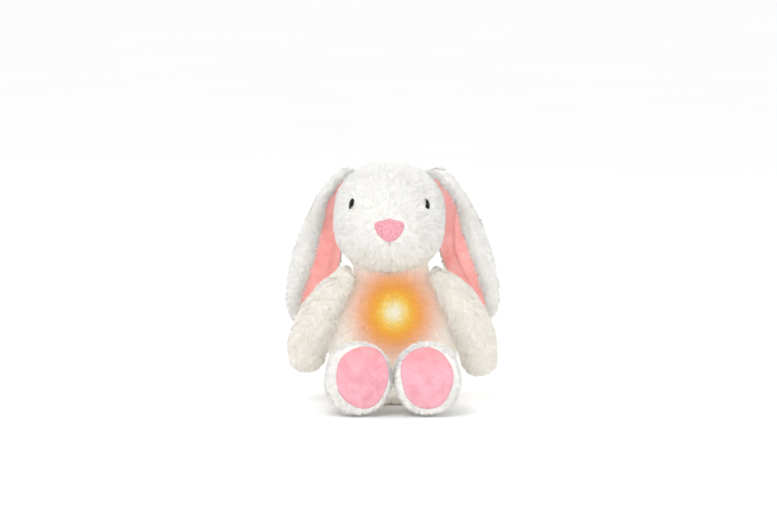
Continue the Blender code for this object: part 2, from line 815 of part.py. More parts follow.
def make_torso():
    torso_panel("torso_front_left", True, 1)
    torso_panel("torso_front_right", True, -1)
    torso_panel("torso_back_left", False, 1)
    torso_panel("torso_back_right", False, -1)
    base = []
    for height, wide, deep in TORSO_PROFILE[:SEAT_PLATE_RINGS]:
        size = (height if height == 0 else height - GAP, wide - 0.001, deep - 0.001)
        base.append([torso_point(2 * math.pi * i / 32, size) for i in range(32)])
    loft("torso_base_panel", base, PLUSH)
    beans = []
    for height, share in ((0.0045, 0.90), (0.0090, 0.98), (0.0170, 1.0), (0.0250, 0.97), (0.0285, 0.88)):
        size = (height, 0.0560 * share, 0.0440 * share)
        beans.append([torso_point(2 * math.pi * i / 24, size) for i in range(24)])
    loft("seat_bean_bag", beans, BEADS)
    filling = torso_filling()
    side = CASE_HALF_WIDTH + 0.0012
    pocket = cutter("module_pocket", (MODULE_X - side, CASE_FRONT_Y - 0.0012, CASE_LOW - 0.0012),
                    (MODULE_X + side, 0.09, CASE_HIGH + 0.0012))
    lamp_bore = round_cutter("lamp_bore", (MODULE_X, -0.05, LAMP_Z), "y", 0.03, LAMP_RADIUS + 0.0012)
    button_bore = round_cutter("button_bore", (BUTTON_X, -0.05, BUTTON_Z), "y", 0.03,
                               BUTTON_RADIUS + 0.0012)
    cut(filling, pocket, lamp_bore, button_bore)
    tail = []
    radius = 0.0175
    tail_y = back_y(0.0, 0.030, 0.0) + radius * 0.96
    for polar in range(8, 180, 18):
        drop = math.radians(polar)
        ring = []
        for i in range(16):
            turn = 2 * math.pi * i / 16
            flat = radius * math.sin(drop)
            y = flat * math.cos(turn)
            y = max(y, back_y(0.0, 0.030, 0.0006) - tail_y)
            ring.append((flat * math.sin(turn), tail_y + y, 0.0240 + radius * math.cos(drop)))
        tail.append(ring)
    loft("tail_pompom", tail, PLUSH)
    back_sheet("back_flap", FLAP_HALF, FLAP_LOW, FLAP_TOP, 0.0034, 0.0060, PLUSH, 6, 6, FLAP_HINGE)
    back_sheet("loop_strip", 0.0200, 0.0480, 0.0560, 0.0005, 0.0015, HOOK_TAPE, 1, 4)
    back_sheet("hook_strip", 0.0200, 0.0480, 0.0560, 0.0019, 0.0030, HOOK_TAPE, 1, 4, FLAP_HINGE)


# ---------------------------------------------------------------- light and sound module
def half_case(name, low_y, high_y, open_high):
    """Half of the case: a box shell whose mouth faces the other half."""
    low = (MODULE_X - CASE_HALF_WIDTH, low_y, CASE_LOW)
    high = (MODULE_X + CASE_HALF_WIDTH, high_y, CASE_HIGH)
    shell = box(name, low, high, CASE_PLASTIC)
    inner_low = [low[0] + CASE_WALL, low_y + CASE_WALL, low[2] + CASE_WALL]
    inner_high = [high[0] - CASE_WALL, high_y - CASE_WALL, high[2] - CASE_WALL]
    if open_high:
        inner_high[1] = high_y + 0.01
    else:
        inner_low[1] = low_y - 0.01
    cut(shell, cutter(name + "_hollow", inner_low, inner_high))
    return shell


def make_module():
    front = half_case("case_front", CASE_FRONT_Y, CASE_SPLIT_Y, True)
    back = half_case("case_back", CASE_SPLIT_Y + GAP, CASE_BACK_Y, False)
    wall_y = CASE_FRONT_Y + CASE_WALL / 2
    led_bore = round_cutter("led_bore", (MODULE_X, wall_y, LAMP_Z), "y", 0.004, 0.0060, 12)
    button_hole = round_cutter("button_hole", (BUTTON_X, wall_y, BUTTON_Z), "y", 0.004,
                               BUTTON_RADIUS + 0.0005, 16)
    cut(front, led_bore, button_hole)
    for k in range(5):
        turn = 2 * math.pi * k / 5
        reach = 0.0055
        place = (SPEAKER_X + reach * math.cos(turn), wall_y, SPEAKER_Z + reach * math.sin(turn))
        cut(front, round_cutter("grille_hole_%d" % k, place, "y", 0.004, 0.0016, 8))

    dome_y = CASE_FRONT_Y - GAP
    wall = 0.0016
    bulge = 0.85
    outside = []
    inside = []
    for polar in (0, 20, 40, 60, 78):
        lift = math.radians(polar)
        inner_radius = LAMP_RADIUS - wall
        outside.append((-LAMP_RADIUS * bulge * math.sin(lift), LAMP_RADIUS * math.cos(lift)))
        inside.append((-inner_radius * bulge * math.sin(lift), inner_radius * math.cos(lift)))
    turned("lamp_dome", (MODULE_X, dome_y, LAMP_Z), "y", inside[::-1] + outside, LAMP_PLASTIC, 18)

    board_half = CASE_HALF_WIDTH - CASE_WALL - 0.0008
    board = box("circuit_board",
                (MODULE_X - board_half, PCB_FRONT_Y, CASE_LOW + CASE_WALL + 0.0008),
                (MODULE_X + board_half, PCB_FRONT_Y + PCB_THICKNESS, CASE_HIGH - CASE_WALL - 0.0008),
                BOARD)
    magnet_room = round_cutter("magnet_room", (SPEAKER_X, PCB_FRONT_Y, SPEAKER_Z), "y", 0.004, 0.0075)
    cut(board, magnet_room)
    turned("led", (MODULE_X, PCB_FRONT_Y - GAP, LAMP_Z), "y",
           [(0.0, 0.0030), (-0.0100, 0.0030), (-0.0100, 0.0025), (-0.0170, 0.0025), (-0.0192, 0.0014)],
           LED_EPOXY, 12)

    cap_y = CASE_FRONT_Y - 0.0050
    flange_y = CASE_FRONT_Y + CASE_WALL + 0.0004
    turned("play_button", (BUTTON_X, cap_y, BUTTON_Z), "y",
           [(0.0, BUTTON_RADIUS * 0.8), (0.0006, BUTTON_RADIUS), (flange_y - cap_y, BUTTON_RADIUS),
            (flange_y - cap_y, BUTTON_RADIUS + 0.0014), (flange_y - cap_y + 0.0014, BUTTON_RADIUS + 0.0014)],
           BUTTON_PLASTIC, 16)
    spring_y = flange_y + 0.0014 + 0.0008
    spring_length = PCB_FRONT_Y - 0.0008 - spring_y
    tube("button_spring", coil((BUTTON_X, spring_y, BUTTON_Z), "y", spring_length, 0.0050, 4),
         0.0004, STEEL, 0)

    rim_y = CASE_FRONT_Y + CASE_WALL + GAP
    turned("speaker_frame", (SPEAKER_X, rim_y, SPEAKER_Z), "y",
           [(0.0, SPEAKER_RADIUS - 0.0015), (0.0, SPEAKER_RADIUS), (0.0022, SPEAKER_RADIUS),
            (0.0070, 0.0070), (0.0070, 0.0040), (0.0060, 0.0040), (0.0016, SPEAKER_RADIUS - 0.0015)],
           STEEL, 16, hollow=True)
    turned("speaker_cone", (SPEAKER_X, rim_y, SPEAKER_Z), "y",
           [(0.0006, SPEAKER_RADIUS - 0.0030), (0.0046, 0.0032), (0.0052, 0.0014), (0.0042, 0.0012),
            (0.0036, 0.0026), (0.0004, SPEAKER_RADIUS - 0.0042)], CONE_PAPER, 16, hollow=True)
    turned("speaker_magnet", (SPEAKER_X, rim_y + 0.0074, SPEAKER_Z), "y",
           [(0.0, 0.0062), (0.0004, 0.0066), (0.0050, 0.0066), (0.0054, 0.0062)], STEEL, 16)

    for k in (-1, 0, 1):
        x = MODULE_X + k * CELL_PITCH
        number = k + 2
        top = CELL_LENGTH
        turned("battery_%d" % number, (x, CELL_Y, CELL_LOW), "z",
               [(0.0, CELL_RADIUS - 0.0006), (0.0006, CELL_RADIUS), (top - 0.0014, CELL_RADIUS),
                (top - 0.0009, CELL_RADIUS - 0.0006), (top - 0.0008, 0.0019), (top, 0.0019)],
               CELL_SKIN, 14)
        tube("battery_spring_%d" % number,
             coil((x, CELL_Y, CASE_LOW + CASE_WALL + 0.0008), "z", 0.0046, 0.0030, 3), 0.0003, STEEL, 0)

    door_half = 0.0200
    door_low = 0.0610
    door_high = 0.1110
    doorway = cutter("doorway", (MODULE_X - door_half, CASE_BACK_Y - 0.01, door_low),
                     (MODULE_X + door_half, CASE_BACK_Y + 0.01, door_high))
    cut(back, doorway)
    door = box("battery_door",
               (MODULE_X - door_half + GAP, CASE_BACK_Y - CASE_WALL, door_low + GAP),
               (MODULE_X + door_half - GAP, CASE_BACK_Y, door_high - GAP), CASE_PLASTIC)
    screw_z = door_low + 0.0035
    screw_x = MODULE_X + CELL_PITCH / 2
    cut(door, round_cutter("door_screw_hole", (screw_x, CASE_BACK_Y, screw_z), "y", 0.006, 0.0013, 10))
    screw("door_screw", (screw_x, CASE_BACK_Y + GAP, screw_z), 0.0022, 0.0010, 0.0065)

    for name, z in (("upper", CASE_HIGH - 0.0032), ("lower", CASE_LOW + 0.0032)):
        x = MODULE_X - CASE_HALF_WIDTH + 0.0045
        hole = round_cutter("case_screw_hole_" + name, (x, CASE_BACK_Y, z), "y", 0.006, 0.0014, 10)
        cut(back, hole)
        screw("case_screw_" + name, (x, CASE_BACK_Y + GAP, z), 0.0024, 0.0010, 0.0180)

    switch_x = MODULE_X + CASE_HALF_WIDTH - 0.0055
    switch_z = 0.0860
    slot = cutter("switch_slot", (switch_x - 0.0022, CASE_BACK_Y - 0.006, switch_z - 0.0050),
                  (switch_x + 0.0022, CASE_BACK_Y + 0.006, switch_z + 0.0050))
    cut(back, slot)
    body_y = CASE_BACK_Y - CASE_WALL - GAP
    box("switch_body", (switch_x - 0.0030, body_y - 0.0050, switch_z - 0.0065),
        (switch_x + 0.0030, body_y, switch_z + 0.0065), SWITCH_BLACK)
    box("power_switch", (switch_x - 0.0017, body_y + GAP, switch_z - 0.0045),
        (switch_x + 0.0017, CASE_BACK_Y + 0.0015, switch_z), SWITCH_BLACK)

    lead_y = PCB_FRONT_Y + PCB_THICKNESS + 0.0010
    lead_z = SPEAKER_Z + 0.0115
    start = (SPEAKER_X + 0.0020, lead_y, lead_z)
    middle = (MODULE_X + 0.0060, lead_y + 0.0010, lead_z + 0.0075)
    end = (MODULE_X - 0.0040, lead_y, lead_z + 0.0090)
    route = smooth_line([start, middle, end], 7)
    tube("speaker_lead", [tuple(p) for p in route], 0.0006, WIRE_RED, 0)

    pad_y = CASE_BACK_Y + 0.0030
    box("pocket_pad", (MODULE_X - 0.0210, pad_y, 0.0620), (MODULE_X + 0.0210, 0.0500, 0.1040), FILLING, 0.003)


def screw(name, seat, head_radius, head_height, length):
    """A screw along Y: its head stands behind the seat and its shank goes forward."""
    turned(name, seat, "y",
           [(head_height, head_radius * 0.8), (head_height * 0.6, head_radius), (0.0, head_radius),
            (0.0, 0.0009), (-length + 0.0010, 0.0009), (-length, 0.0003)], STEEL, 10)


def main():
    for old in list(bpy.data.objects):
        bpy.data.objects.remove(old, do_unlink=True)
    make_head()
    make_ear(1, "left")
    make_ear(-1, "right")
    for side, name in ((1, "left"), (-1, "right")):
        make_arm(side, name)
        make_leg(side, name)
    make_torso()
    make_module()


main()
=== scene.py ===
"""Looks of a seated lop-eared plush rabbit with a lamp behind its belly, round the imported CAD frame."""

import json
import math

import bpy
import numpy as np
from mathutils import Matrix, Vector
from mathutils.kdtree import KDTree


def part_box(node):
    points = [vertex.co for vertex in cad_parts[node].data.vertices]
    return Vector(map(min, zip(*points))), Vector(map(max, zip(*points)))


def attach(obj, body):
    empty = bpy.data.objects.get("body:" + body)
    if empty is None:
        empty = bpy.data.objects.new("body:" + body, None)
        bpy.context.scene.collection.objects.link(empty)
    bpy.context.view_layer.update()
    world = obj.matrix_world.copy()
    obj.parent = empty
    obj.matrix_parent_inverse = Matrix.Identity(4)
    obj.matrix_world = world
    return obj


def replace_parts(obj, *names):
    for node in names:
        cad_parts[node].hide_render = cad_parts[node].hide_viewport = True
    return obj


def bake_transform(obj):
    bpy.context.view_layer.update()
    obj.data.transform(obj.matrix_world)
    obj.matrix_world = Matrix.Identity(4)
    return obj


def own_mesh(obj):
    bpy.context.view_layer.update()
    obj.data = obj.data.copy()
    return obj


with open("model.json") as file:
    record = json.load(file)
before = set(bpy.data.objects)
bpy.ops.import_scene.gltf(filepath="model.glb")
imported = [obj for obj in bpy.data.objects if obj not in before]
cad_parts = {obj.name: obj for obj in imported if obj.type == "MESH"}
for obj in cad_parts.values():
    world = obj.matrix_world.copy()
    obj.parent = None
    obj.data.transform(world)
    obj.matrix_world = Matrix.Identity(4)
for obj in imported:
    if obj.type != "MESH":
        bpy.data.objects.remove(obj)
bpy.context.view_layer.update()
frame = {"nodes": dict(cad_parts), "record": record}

# ---------------------------------------------------------------- dimensions, in metres
PILE = 0.0060            # length of a strand of the white plush
SKIN_DEPTH = 0.0030      # how far the backing cloth lies inside the pile's outer surface
STRAND_HALF = 0.00036    # half the width of a strand at its root
STRAND_FACES = (0, 3, 2, 2, 3, 1, 1, 3, 0)  # its three faces: corners 0 to 2 at the root, 3 at the tip
STRANDS_IN_MESH = 66000  # the most strands that one mesh holds
TUFT_STRANDS = 11        # strands in a tuft, on average
TUFT_PULL = 0.45         # share by which the tips of a tuft are gathered
TUFT_TURN = 0.20         # how unevenly tufts catch the light
RUFFLE = 0.32            # slow turns of the combing over the surface, in radians
WAVES = 7                # waves that a smooth random field is made of
FLOOR_GAP = 0.0003
PAINTED_FUR_GLOW = 0.11     # painted glow: emission in the white strands that lifts their self-shadow, standing in for light passed on through the pile, as a share of white

HEAD_CENTRE = np.array([-0.004, -0.008, 0.217])
HEAD_HALF = np.array([0.0655, 0.0630, 0.0635])
HEAD_POWER = 2.3
CROWN_SEAM = math.radians(25)
CROWN_RISE = 0.0026      # how far the stuffing lifts the crown's top
CROWN_FULLNESS = 0.0032  # how far the stuffing fills out the crown's corners, beside the ear roots
EYE_AROUND = math.radians(49.5)
EYE_UP = math.radians(20)
EYE_RADIUS = 0.0068
EYE_TALL = 1.20          # an eye's height over its width
EYE_SUNK = 0.0042        # how deep the eyes sit in their dimples
EYE_TURN_OUT = 2.60      # how strongly the eyes turn to the sides, against the head's own slope
NOSE_UP = math.radians(-6)
TORSO_Y = 0.006
TORSO_PROFILE = [       # height, half width, half depth
    (0.0000, 0.0520, 0.0440),
    (0.0034, 0.0600, 0.0520),
    (0.0120, 0.0690, 0.0580),
    (0.0300, 0.0745, 0.0615),
    (0.0520, 0.0755, 0.0625),
    (0.0850, 0.0700, 0.0590),
    (0.1060, 0.0635, 0.0540),
    (0.1260, 0.0545, 0.0455),
    (0.1380, 0.0465, 0.0385),
    (0.1445, 0.0395, 0.0330),
    (0.1475, 0.0310, 0.0265),
]
POCKET_HALF = 0.0270
POCKET_LOW = 0.0600
POCKET_HIGH = 0.1060

ARM_ROUTE = [           # x, y, z and radius from shoulder to paw, for the left arm
    (0.0490, -0.0120, 0.1550, 0.0100),
    (0.0590, -0.0160, 0.1450, 0.0150),
    (0.0705, -0.0200, 0.1300, 0.0195),
    (0.0820, -0.0225, 0.1130, 0.0225),
    (0.0905, -0.0235, 0.0950, 0.0240),
    (0.0970, -0.0235, 0.0770, 0.0243),
    (0.1010, -0.0235, 0.0600, 0.0235),
]
PAW_X = 0.1018
PAW_DOME = [            # z and radius towards the paw's end
    (0.0455, 0.0212),
    (0.0395, 0.0172),
    (0.0350, 0.0120),
    (0.0325, 0.0065),
    (0.0317, 0.0015),
]

LEG_X = 0.0405
LEG_PROFILE = [         # y, half width, half height and height of the middle
    (-0.0640, 0.0230, 0.0230, 0.0430),
    (-0.0700, 0.0270, 0.0280, 0.0430),
    (-0.0800, 0.0310, 0.0325, 0.0432),
    (-0.0930, 0.0345, 0.0365, 0.0434),
    (-0.1060, 0.0375, 0.0405, 0.0438),
    (-0.1170, 0.0392, 0.0430, 0.0440),
    (-0.1260, 0.0385, 0.0420, 0.0440),
    (-0.1310, 0.0365, 0.0400, 0.0445),
    (-0.1330, 0.0330, 0.0368, 0.0450),
]
PAD_HALF = (0.0303, 0.0362)
PAD_PLACES = {-1: (-0.0352, 0.0482), 1: (0.0397, 0.0474)}
PAD_LEANS = {-1: math.radians(-5), 1: math.radians(9)}
PAD_POWER = 2.1
PAD_CROWN = 0.0035

EAR_ROOT_Y = -0.0040
EAR_OUTER_EDGE = [      # x and z down the outer edge of the left ear
    (0.0475, 0.2768),
    (0.0600, 0.2738),
    (0.0720, 0.2650),
    (0.0852, 0.2462),
    (0.0995, 0.2190),
    (0.1115, 0.1900),
    (0.1200, 0.1620),
    (0.1250, 0.1370),
    (0.1255, 0.1170),
    (0.1225, 0.1010),
    (0.1170, 0.0920),
]
EAR_INNER_EDGE = [      # x and z down the inner edge, close to the head and then free
    (0.0405, 0.2740),
    (0.0465, 0.2680),
    (0.0540, 0.2600),
    (0.0615, 0.2440),
    (0.0625, 0.2220),
    (0.0560, 0.1980),
    (0.0555, 0.1790),
    (0.0625, 0.1550),
    (0.0760, 0.1300),
    (0.0930, 0.1080),
    (0.1100, 0.0930),
]
EAR_TUCK = 0.0045        # how far the cloth reaches in behind the head
EAR_HANGING_Y = 0.0290   # both ears hang behind the arms
EAR_DRAPE_TOP = 0.264
EAR_DRAPE_LOW = 0.192
EAR_HALF_THICK = 0.0020
LINING_FROM = 0.015       # the satin covers this share of the ear's width, from the inner edge
LINING_TO = 0.60

GLOW = np.array([0.0018, -0.0520, 0.1088])    # where the lamp shines through the belly

rng = np.random.default_rng(20)


# ---------------------------------------------------------------- shape helpers
def smooth_line(points, count):
    """Evenly spread points on a smooth line through control points."""
    line = np.array(points, dtype=float)
    dense = []
    for k in range(len(line) - 1):
        before = line[max(0, k - 1)]
        a = line[k]
        b = line[k + 1]
        after = line[min(len(line) - 1, k + 2)]
        for step in range(12):
            t = step / 12
            dense.append(0.5 * (2 * a + (b - before) * t
                                + (2 * before - 5 * a + 4 * b - after) * t * t
                                + (3 * a - before - 3 * b + after) * t ** 3))
    dense.append(line[-1])
    dense = np.array(dense)
    spans = np.linalg.norm(np.diff(dense, axis=0), axis=1)
    run = np.concatenate([[0], np.cumsum(spans)])
    wanted = np.linspace(0, run[-1], count)
    return np.stack([np.interp(wanted, run, dense[:, k]) for k in range(dense.shape[1])], axis=1)


def reach(cosine, sine, wide, deep, power):
    """Distance from the middle to a superellipse in a direction."""
    return (np.abs(cosine / wide) ** power + np.abs(sine / deep) ** power) ** (-1 / power)


def turns(count):
    """Evenly spread angles of one full turn."""
    return np.linspace(0, 2 * math.pi, count, endpoint=False)


def oval(turn, wide, deep, power):
    """The two coordinates of an oval outline at angles round its middle."""
    far = reach(np.cos(turn), np.sin(turn), wide, deep, power)
    return far * np.cos(turn), far * np.sin(turn)


def places(x, y, z):
    """Points from their coordinates, of which some may be single numbers."""
    return np.stack(np.broadcast_arrays(x, y, z), axis=-1)


def eased(share):
    """A share from 0 to 1 with a soft start and a soft end."""
    return share * share * (3 - 2 * share)


def unit(rows):
    return rows / np.maximum(1e-9, np.linalg.norm(rows, axis=-1, keepdims=True))


def wobble(points, size, seed):
    """Smooth pseudo-random field of about -1 to 1 whose lumps measure about size."""
    local = np.random.default_rng(seed)
    total = np.zeros(len(points))
    for _ in range(WAVES):
        direction = unit(local.normal(size=3)) * (2 * math.pi / size) * local.uniform(0.6, 1.4)
        total += np.sin(points @ direction + local.uniform(0, 2 * math.pi))
    return total / math.sqrt(WAVES)


def ring_grid(rings, cap_first=True, cap_last=True):
    """Vertices and faces of closed rings joined one to the next, with a point at each capped end."""
    rings = np.asarray(rings)
    count, around, _ = rings.shape
    points = rings.reshape(-1, 3)
    here = np.arange(around)
    after = (here + 1) % around
    faces = []
    for k in range(count - 1):
        low = k * around
        high = low + around
        faces.append(np.stack([low + here, low + after, high + after, high + here], axis=1))
    quads = np.concatenate(faces)
    extra = []
    triangles = []
    if cap_first:
        extra.append(rings[0].mean(0))
        tip = np.full(around, len(points) + len(extra) - 1)
        triangles.append(np.stack([tip, after, here], axis=1))
    if cap_last:
        extra.append(rings[-1].mean(0))
        tip = np.full(around, len(points) + len(extra) - 1)
        low = (count - 1) * around
        triangles.append(np.stack([tip, low + here, low + after], axis=1))
    if extra:
        points = np.concatenate([points, np.array(extra)])
    return points, quads, np.concatenate(triangles) if triangles else np.zeros((0, 3), int)


def sheet_grid(grid):
    """Vertices and faces of an open grid of points."""
    rows, columns, _ = grid.shape
    index = np.arange(rows * columns).reshape(rows, columns)
    quads = np.stack([index[:-1, :-1], index[:-1, 1:], index[1:, 1:], index[1:, :-1]], axis=-1)
    return grid.reshape(-1, 3), quads.reshape(-1, 4), np.zeros((0, 3), int)


class Shape:
    """A surface as points, quads and triangles, kept in numpy."""

    def __init__(self, points, quads, triangles):
        self.points = np.array(points, dtype=float)
        self.quads = quads
        self.triangles = triangles
        if self.volume() < 0:
            self.quads = quads[:, ::-1]
            self.triangles = triangles[:, ::-1]

    def split(self):
        q = self.quads
        return np.concatenate([q[:, [0, 1, 2]], q[:, [0, 2, 3]], self.triangles])

    def volume(self):
        t = self.split()
        middle = self.points.mean(0)
        a, b, c = (self.points[t[:, k]] - middle for k in range(3))
        return float(np.sum(a * np.cross(b, c)))

    def normals(self):
        t = self.split()
        a, b, c = (self.points[t[:, k]] for k in range(3))
        flat = np.cross(b - a, c - a)
        total = np.zeros_like(self.points)
        for k in range(3):
            np.add.at(total, t[:, k], flat)
        return unit(total)

    def moved(self, distance):
        """A copy whose points are pushed out along their normals."""
        points = self.points + self.normals() * np.asarray(distance).reshape(-1, 1)
        return Shape(points, self.quads, self.triangles)

    def scatter(self, count, keep=None):
        """Random places on the surface: points and smooth normals."""
        t = self.split()
        n = self.normals()
        a, b, c = (self.points[t[:, k]] for k in range(3))
        area = np.linalg.norm(np.cross(b - a, c - a), axis=1)
        if callable(keep):
            area = area * keep((a + b + c) / 3, unit(n[t].mean(1)))
        elif keep is not None:
            area = area * keep[t].mean(1)
        chosen = rng.choice(len(t), size=count, p=area / area.sum())
        u = rng.random(count)
        v = rng.random(count)
        over = u + v > 1
        u[over] = 1 - u[over]
        v[over] = 1 - v[over]
        share = np.stack([1 - u - v, u, v], axis=1)[:, :, None]
        corner = t[chosen]
        spots = (self.points[corner] * share).sum(1)
        return spots, unit((n[corner] * share).sum(1))


# ---------------------------------------------------------------- material helpers
class Finish:
    """A material in the making. Inputs are given by name, as plain values or as outputs of other nodes."""

    def __init__(self, name):
        self.material = bpy.data.materials.new(name)
        self.material.use_nodes = True
        self.tree = self.material.node_tree
        self.shader = self.tree.nodes["Principled BSDF"]
        self.coordinates = None

    def feed(self, socket, value):
        if isinstance(value, bpy.types.NodeSocket):
            self.tree.links.new(value, socket)
        else:
            socket.default_value = value

    def add(self, kind, **values):
        node = self.tree.nodes.new("ShaderNode" + kind)
        for name, value in values.items():
            self.feed(node.inputs[name.replace("_", " ")], value)
        return node

    def shade(self, **values):
        for name, value in values.items():
            self.feed(self.shader.inputs[name.replace("_", " ")], value)
        return self.material

    def place(self):
        """Places on the piece, in metres."""
        if self.coordinates is None:
            self.coordinates = self.add("TexCoord").outputs["Object"]
        return self.coordinates

    def split(self):
        return self.add("SeparateXYZ", Vector=self.place()).outputs

    def noise(self, scale, detail=3.0, place=None):
        place = self.place() if place is None else place
        made = self.add("TexNoise", Scale=scale, Detail=detail, Roughness=0.55, Vector=place)
        return made.outputs["Fac"]

    def stretched(self, **mapping):
        return self.add("Mapping", Vector=self.place(), **mapping).outputs["Vector"]

    def ramp(self, factor, *stops):
        node = self.add("ValToRGB", Fac=factor)
        elements = node.color_ramp.elements
        while len(elements) < len(stops):
            elements.new(0.5)
        for element, (position, colour) in zip(elements, stops):
            element.position = position
            element.color = (*colour, 1)
        return node.outputs["Color"]

    def math(self, operation, *values):
        node = self.add("Math")
        node.operation = operation
        for socket, value in zip(node.inputs, values):
            self.feed(socket, value)
        return node.outputs[0]

    def mix(self, factor, first, second, blend_type="MIX"):
        node = self.add("Mix", Factor=factor)
        node.data_type = "RGBA"
        node.blend_type = blend_type
        self.feed(node.inputs[6], first)
        self.feed(node.inputs[7], second)
        return node.outputs[2]

    def bump(self, height, strength, distance):
        node = self.add("Bump", Strength=strength, Distance=distance, Height=height)
        self.shade(Normal=node.outputs["Normal"])


def mottled(name, low, high, scale, roughness, grain_scale, relief, sheen=0.0, **values):
    """Two tones mixed by noise, with a finer grain in relief and in roughness."""
    made = Finish(name)
    grain = made.noise(grain_scale, 4.0)
    made.bump(grain, 0.6, relief)
    if sheen:
        made.shade(Sheen_Weight=sheen, Sheen_Roughness=0.4)
    return made.shade(Base_Color=made.ramp(made.noise(scale), (0.30, low), (0.70, high)),
                      Roughness=made.math("MULTIPLY_ADD", grain, 0.18, roughness - 0.09), **values)


def woven(name, low, high, threads, relief, roughness, sheen, satin=False):
    """A weave of crossing threads in the X and Z of the piece, with slow changes of tone."""
    made = Finish(name)
    turns = 2 * math.pi / threads
    split = made.split()
    across = made.math("SINE", made.math("MULTIPLY", split["X"], turns))
    along = made.math("SINE", made.math("MULTIPLY", split["Z"], turns * (0.4 if satin else 1.0)))
    height = made.math("MULTIPLY", across, along)
    if satin:
        height = made.math("ADD", height, across)
    height = made.math("ADD", height, made.noise(2.5 / threads, 2.0))
    cloud = made.noise(45.0, 4.0)
    tone = made.math("MULTIPLY_ADD", height, 0.07, cloud)
    made.bump(height, 0.5, relief)
    return made.shade(Base_Color=made.ramp(tone, (0.32, low), (0.68, high)),
                      Roughness=made.math("MULTIPLY_ADD", cloud, 0.20, roughness - 0.10),
                      Sheen_Weight=sheen, Sheen_Roughness=0.35)


def strand_finish(name, colour, glow=None, strength=0.0):
    """Finish of one shade of strand. The strands themselves carry the texture, so its values are plain.
    Each shade also has a painted glow, of its own colour unless another is given.
    """
    if glow is None:
        glow, strength = colour, PAINTED_FUR_GLOW
    return Finish(name).shade(Base_Color=(*colour, 1), Roughness=0.85, Specular_IOR_Level=0.15,
                              Sheen_Weight=0.45, Sheen_Roughness=0.5, Emission_Color=(*glow, 1),
                              Emission_Strength=strength)


# ---------------------------------------------------------------- piece helpers
def piece(name, shape, materials, body):
    mesh = bpy.data.meshes.new(name)
    mesh.from_pydata(shape.points.tolist(), [], shape.quads.tolist() + shape.triangles.tolist())
    mesh.validate()
    for made in materials if isinstance(materials, (list, tuple)) else [materials]:
        mesh.materials.append(made)
    mesh.shade_smooth()
    made = bpy.data.objects.new(name, mesh)
    bpy.context.collection.objects.link(made)
    if body:
        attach(made, body)
    return made


def cover(name, shape, finish, body, slot, fill, *replaced):
    """A piece of cloth, in place of the CAD solids it stands for."""
    made = piece(name, shape, finish, body)
    if replaced:
        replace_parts(made, *replaced)
    return made


def sewn(name, threads, body):
    """One piece of thread out of several stitches or plies."""
    made = piece(name, joined(threads), THREAD, body)
    return made


def combed(x, y, z):
    """A lay that combs the pile the same way everywhere."""
    return lambda root, normal: np.tile(np.array([x, y, z], float), (len(root), 1))


def fur(name, body, shape, count, lay, materials, tint, keep=None, length=PILE, spread=0.30,
        lean=54.0):
    """Strands of pile over a surface. lay gives the combing direction at each place, tint the slot of each
    strand, keep the density. A strand is a slim three-sided spike that leans along the cloth."""
    root, normal = shape.scatter(count, keep)
    comb = lay(root, normal)
    comb = unit(comb - normal * (comb * normal).sum(1)[:, None])
    side = np.cross(normal, comb)
    centres = rng.choice(count, size=max(1, count // TUFT_STRANDS), replace=False)
    tree = KDTree(len(centres))
    for k, place in enumerate(root[centres]):
        tree.insert(place, k)
    tree.balance()
    nearest = np.array([tree.find(place)[1] for place in root])
    turn = wobble(root, 0.016, 3) * RUFFLE + wobble(root, 0.006, 4) * RUFFLE * 0.5
    turn = turn + rng.normal(size=len(centres))[nearest] * spread + rng.normal(size=count) * spread * 0.6
    heading = unit(comb * np.cos(turn)[:, None] + side * np.sin(turn)[:, None])
    size = length(root) if callable(length) else np.full(count, length)
    size = size * (0.80 + 0.40 * rng.random(count)) * (0.88 + 0.24 * rng.random(len(centres)))[nearest]
    tilt = np.radians(lean + 9 * rng.normal(size=len(centres))[nearest] + 6 * rng.normal(size=count))
    tilt = np.clip(tilt, math.radians(38), math.radians(74))
    tip = root + (normal * np.cos(tilt)[:, None] + heading * np.sin(tilt)[:, None]) * size[:, None]
    gather = root[centres][nearest] + (tip - root)
    tip = tip + (gather - tip) * TUFT_PULL
    across = np.cross(heading, normal)
    half = (STRAND_HALF * (0.8 + 0.5 * rng.random(count)))[:, None]
    up = normal * np.sin(tilt)[:, None] - heading * np.cos(tilt)[:, None]
    corners = np.stack([root + across * half, root - across * half, root + up * half * 1.2, tip], axis=1)
    corners = corners.reshape(-1, 3)
    corners[:, 2] = np.maximum(corners[:, 2], FLOOR_GAP)
    tuft = unit(normal + rng.normal(size=(len(centres), 3))[nearest] * TUFT_TURN)
    bent = np.stack([tuft + 0.45 * across - 0.05 * heading, tuft - 0.45 * across - 0.05 * heading,
                     tuft, tuft + 0.40 * heading], axis=1) + (0, 0, 0.20)
    facing = unit(bent.reshape(-1, 3))
    slots = tint(root, tip)
    strands = []
    parts = max(1, math.ceil(count / STRANDS_IN_MESH))
    for part in range(parts):
        first = count * part // parts
        last = count * (part + 1) // parts
        number = last - first
        mesh = bpy.data.meshes.new(name)
        mesh.vertices.add(number * 4)
        mesh.vertices.foreach_set("co", corners[first * 4:last * 4].ravel())
        loops = np.arange(number)[:, None] * 4 + STRAND_FACES
        mesh.loops.add(number * 9)
        mesh.loops.foreach_set("vertex_index", loops.ravel())
        mesh.polygons.add(number * 3)
        mesh.polygons.foreach_set("loop_start", np.arange(number * 3) * 3)
        mesh.polygons.foreach_set("material_index", np.repeat(slots[first:last], 3))
        for made in materials:
            mesh.materials.append(made)
        mesh.update(calc_edges=True)
        mesh.shade_smooth()
        mesh.normals_split_custom_set_from_vertices(facing[first * 4:last * 4])
        made = bpy.data.objects.new(name if parts == 1 else "%s_%d" % (name, part + 1), mesh)
        bpy.context.collection.objects.link(made)
        if body:
            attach(made, body)
        strands.append(made)
    return strands


